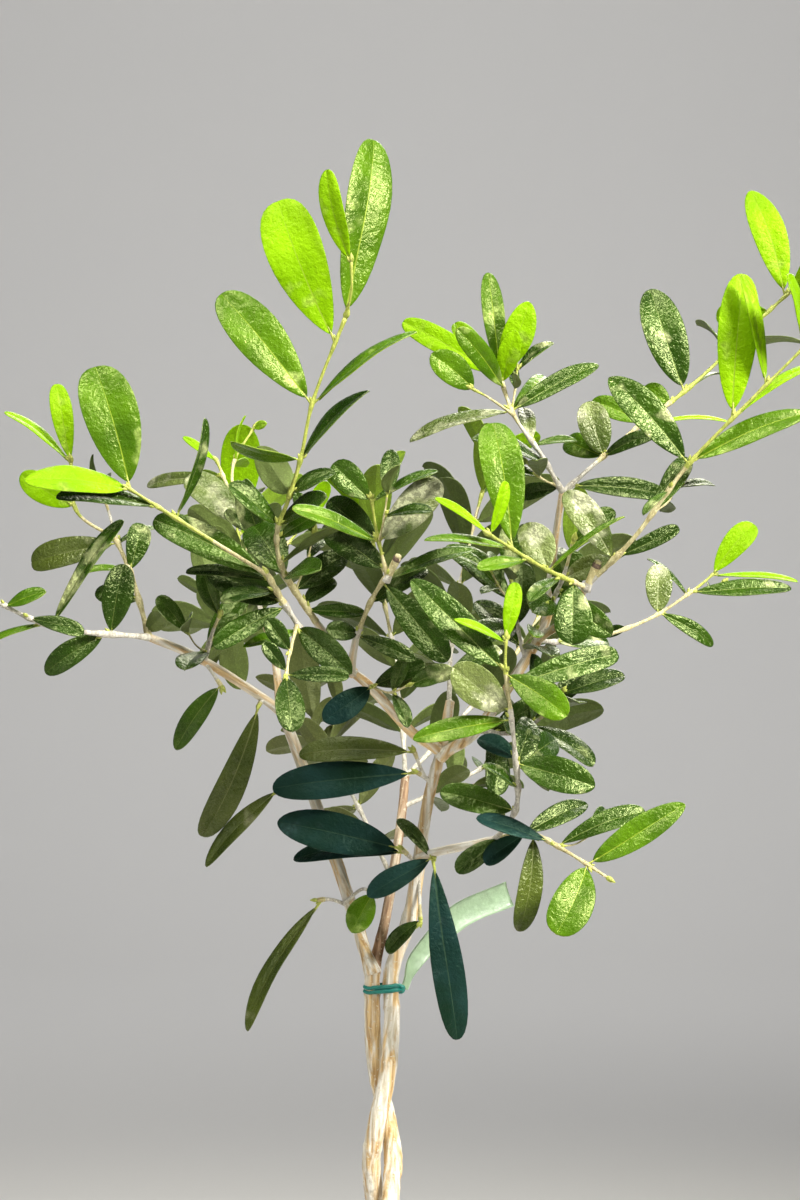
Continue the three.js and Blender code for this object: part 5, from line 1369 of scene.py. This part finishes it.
def add_knot(build, centre):
    thick, thin, turn = KNOT["girth"]
    radii = thick - thin * np.cos(np.linspace(0, turn, KNOT["rings"]))
    for dy, dz in KNOT["loops"]:
        curve = Curve([centre + [x, dy * y, dz * z] for x, y, z in KNOT["path"]])
        add_tube(build, curve, np.linspace(0, 1, len(radii)), radii, KNOT["sides"], TEAL)


def add_tail(build):
    curve = Curve(TIE["tail"])
    ts = np.linspace(0, 1, TAIL["rows"])
    along = curve.direction(ts)
    flat = unit(np.cross(along, UP))
    high = np.cross(flat, along)
    wide = mix(*TIE["tail_width"], np.minimum(1, ts / TIE["widest"]))
    w = np.linspace(-0.5, 0.5, TAIL["columns"])
    deep, level = TAIL["cup"]
    much, turns = TAIL["curl"]
    cup = deep * (w**2 * 4 - level) * np.minimum(1, ts * 2)[:, None]
    cup = cup + much * np.sin(ts * turns)[:, None] * w * 2
    middle = curve.point(ts)[:, None] + high[:, None] * (w * wide[:, None])[..., None]
    middle = middle + flat[:, None] * cup[..., None]
    half = flat[:, None] * (TIE["tail_thickness"] / 2)
    grid = grid_faces(len(ts), len(w), False)
    n = len(ts) * len(w)
    edge, after = grid_edge(len(ts), len(w))
    rims = np.stack([edge, edge + n, after + n, after], -1)
    build.add(np.concatenate([(middle + half).reshape(-1, 3), (middle - half).reshape(-1, 3)]),
              np.concatenate([grid, grid[:, ::-1] + n, rims]), PALE)


make_pot()
make_soil()
make_tie()


# The studio: a pale bowl whose floor turns up into a wall all round, and soft lights inside it.
def make_stage():
    radius, bend = STAGE["radius"], STAGE["bend"]
    arc = np.linspace(0, math.pi / 2, STAGE["bend_rings"])[1:]
    flat = np.linspace(STAGE["centre"], radius - bend, STAGE["flat_rings"])
    r = np.concatenate([flat, radius - bend + bend * np.sin(arc), [radius]])
    z = np.concatenate([0 * flat, bend - bend * np.cos(arc), [STAGE["top"]]])
    angle = angles(STAGE["sides"])
    mesh = bpy.data.meshes.new("studio_floor")
    points = lathe(r[:, None], z[:, None], angle).reshape(-1, 3)
    mesh.from_pydata(points.tolist(), [], grid_faces(len(r), len(angle), True).tolist())
    mesh.shade_smooth()
    Paint("studio", 0.9, 0.2).colour(STAGE["colour"])
    mesh.materials.append(PAINTS["studio"])
    floor = add_object("studio_floor", mesh)


def add_light(name, place, aim, size, power, spread, colour):
    light = bpy.data.lights.new(name, "AREA")
    light.shape, light.size, light.energy, light.color = "DISK", size, power, colour
    light.spread = math.radians(spread)
    thing = add_object(name, light)
    thing.location = place
    way = unit(np.array(aim, float) - np.array(place, float))
    thing.rotation_mode = "QUATERNION"
    thing.rotation_quaternion = Vector(way).to_track_quat("-Z", "Y")


make_stage()
for row in LIGHTS:
    add_light(*row)
world = bpy.data.worlds.new("studio_air")
bpy.context.scene.world = world
world.use_nodes = True
air = world.node_tree.nodes["Background"].inputs
air["Color"].default_value = (*STAGE["air"], 1)
air["Strength"].default_value = STAGE["air_strength"]

camera_data = bpy.data.cameras.new("camera")
camera_data.sensor_width = CAMERA["sensor"]
camera_data.lens = CAMERA["sensor"] / 2 / (CAMERA["frame_height"] / 2 / CAMERA["distance"])
camera = add_object("camera", camera_data)
camera.location = (CAMERA["x"], -CAMERA["distance"], CAMERA["z"])
camera.rotation_euler = (math.pi / 2, 0, 0)
bpy.context.scene.camera = camera
bpy.context.scene.view_settings.view_transform = "Standard"
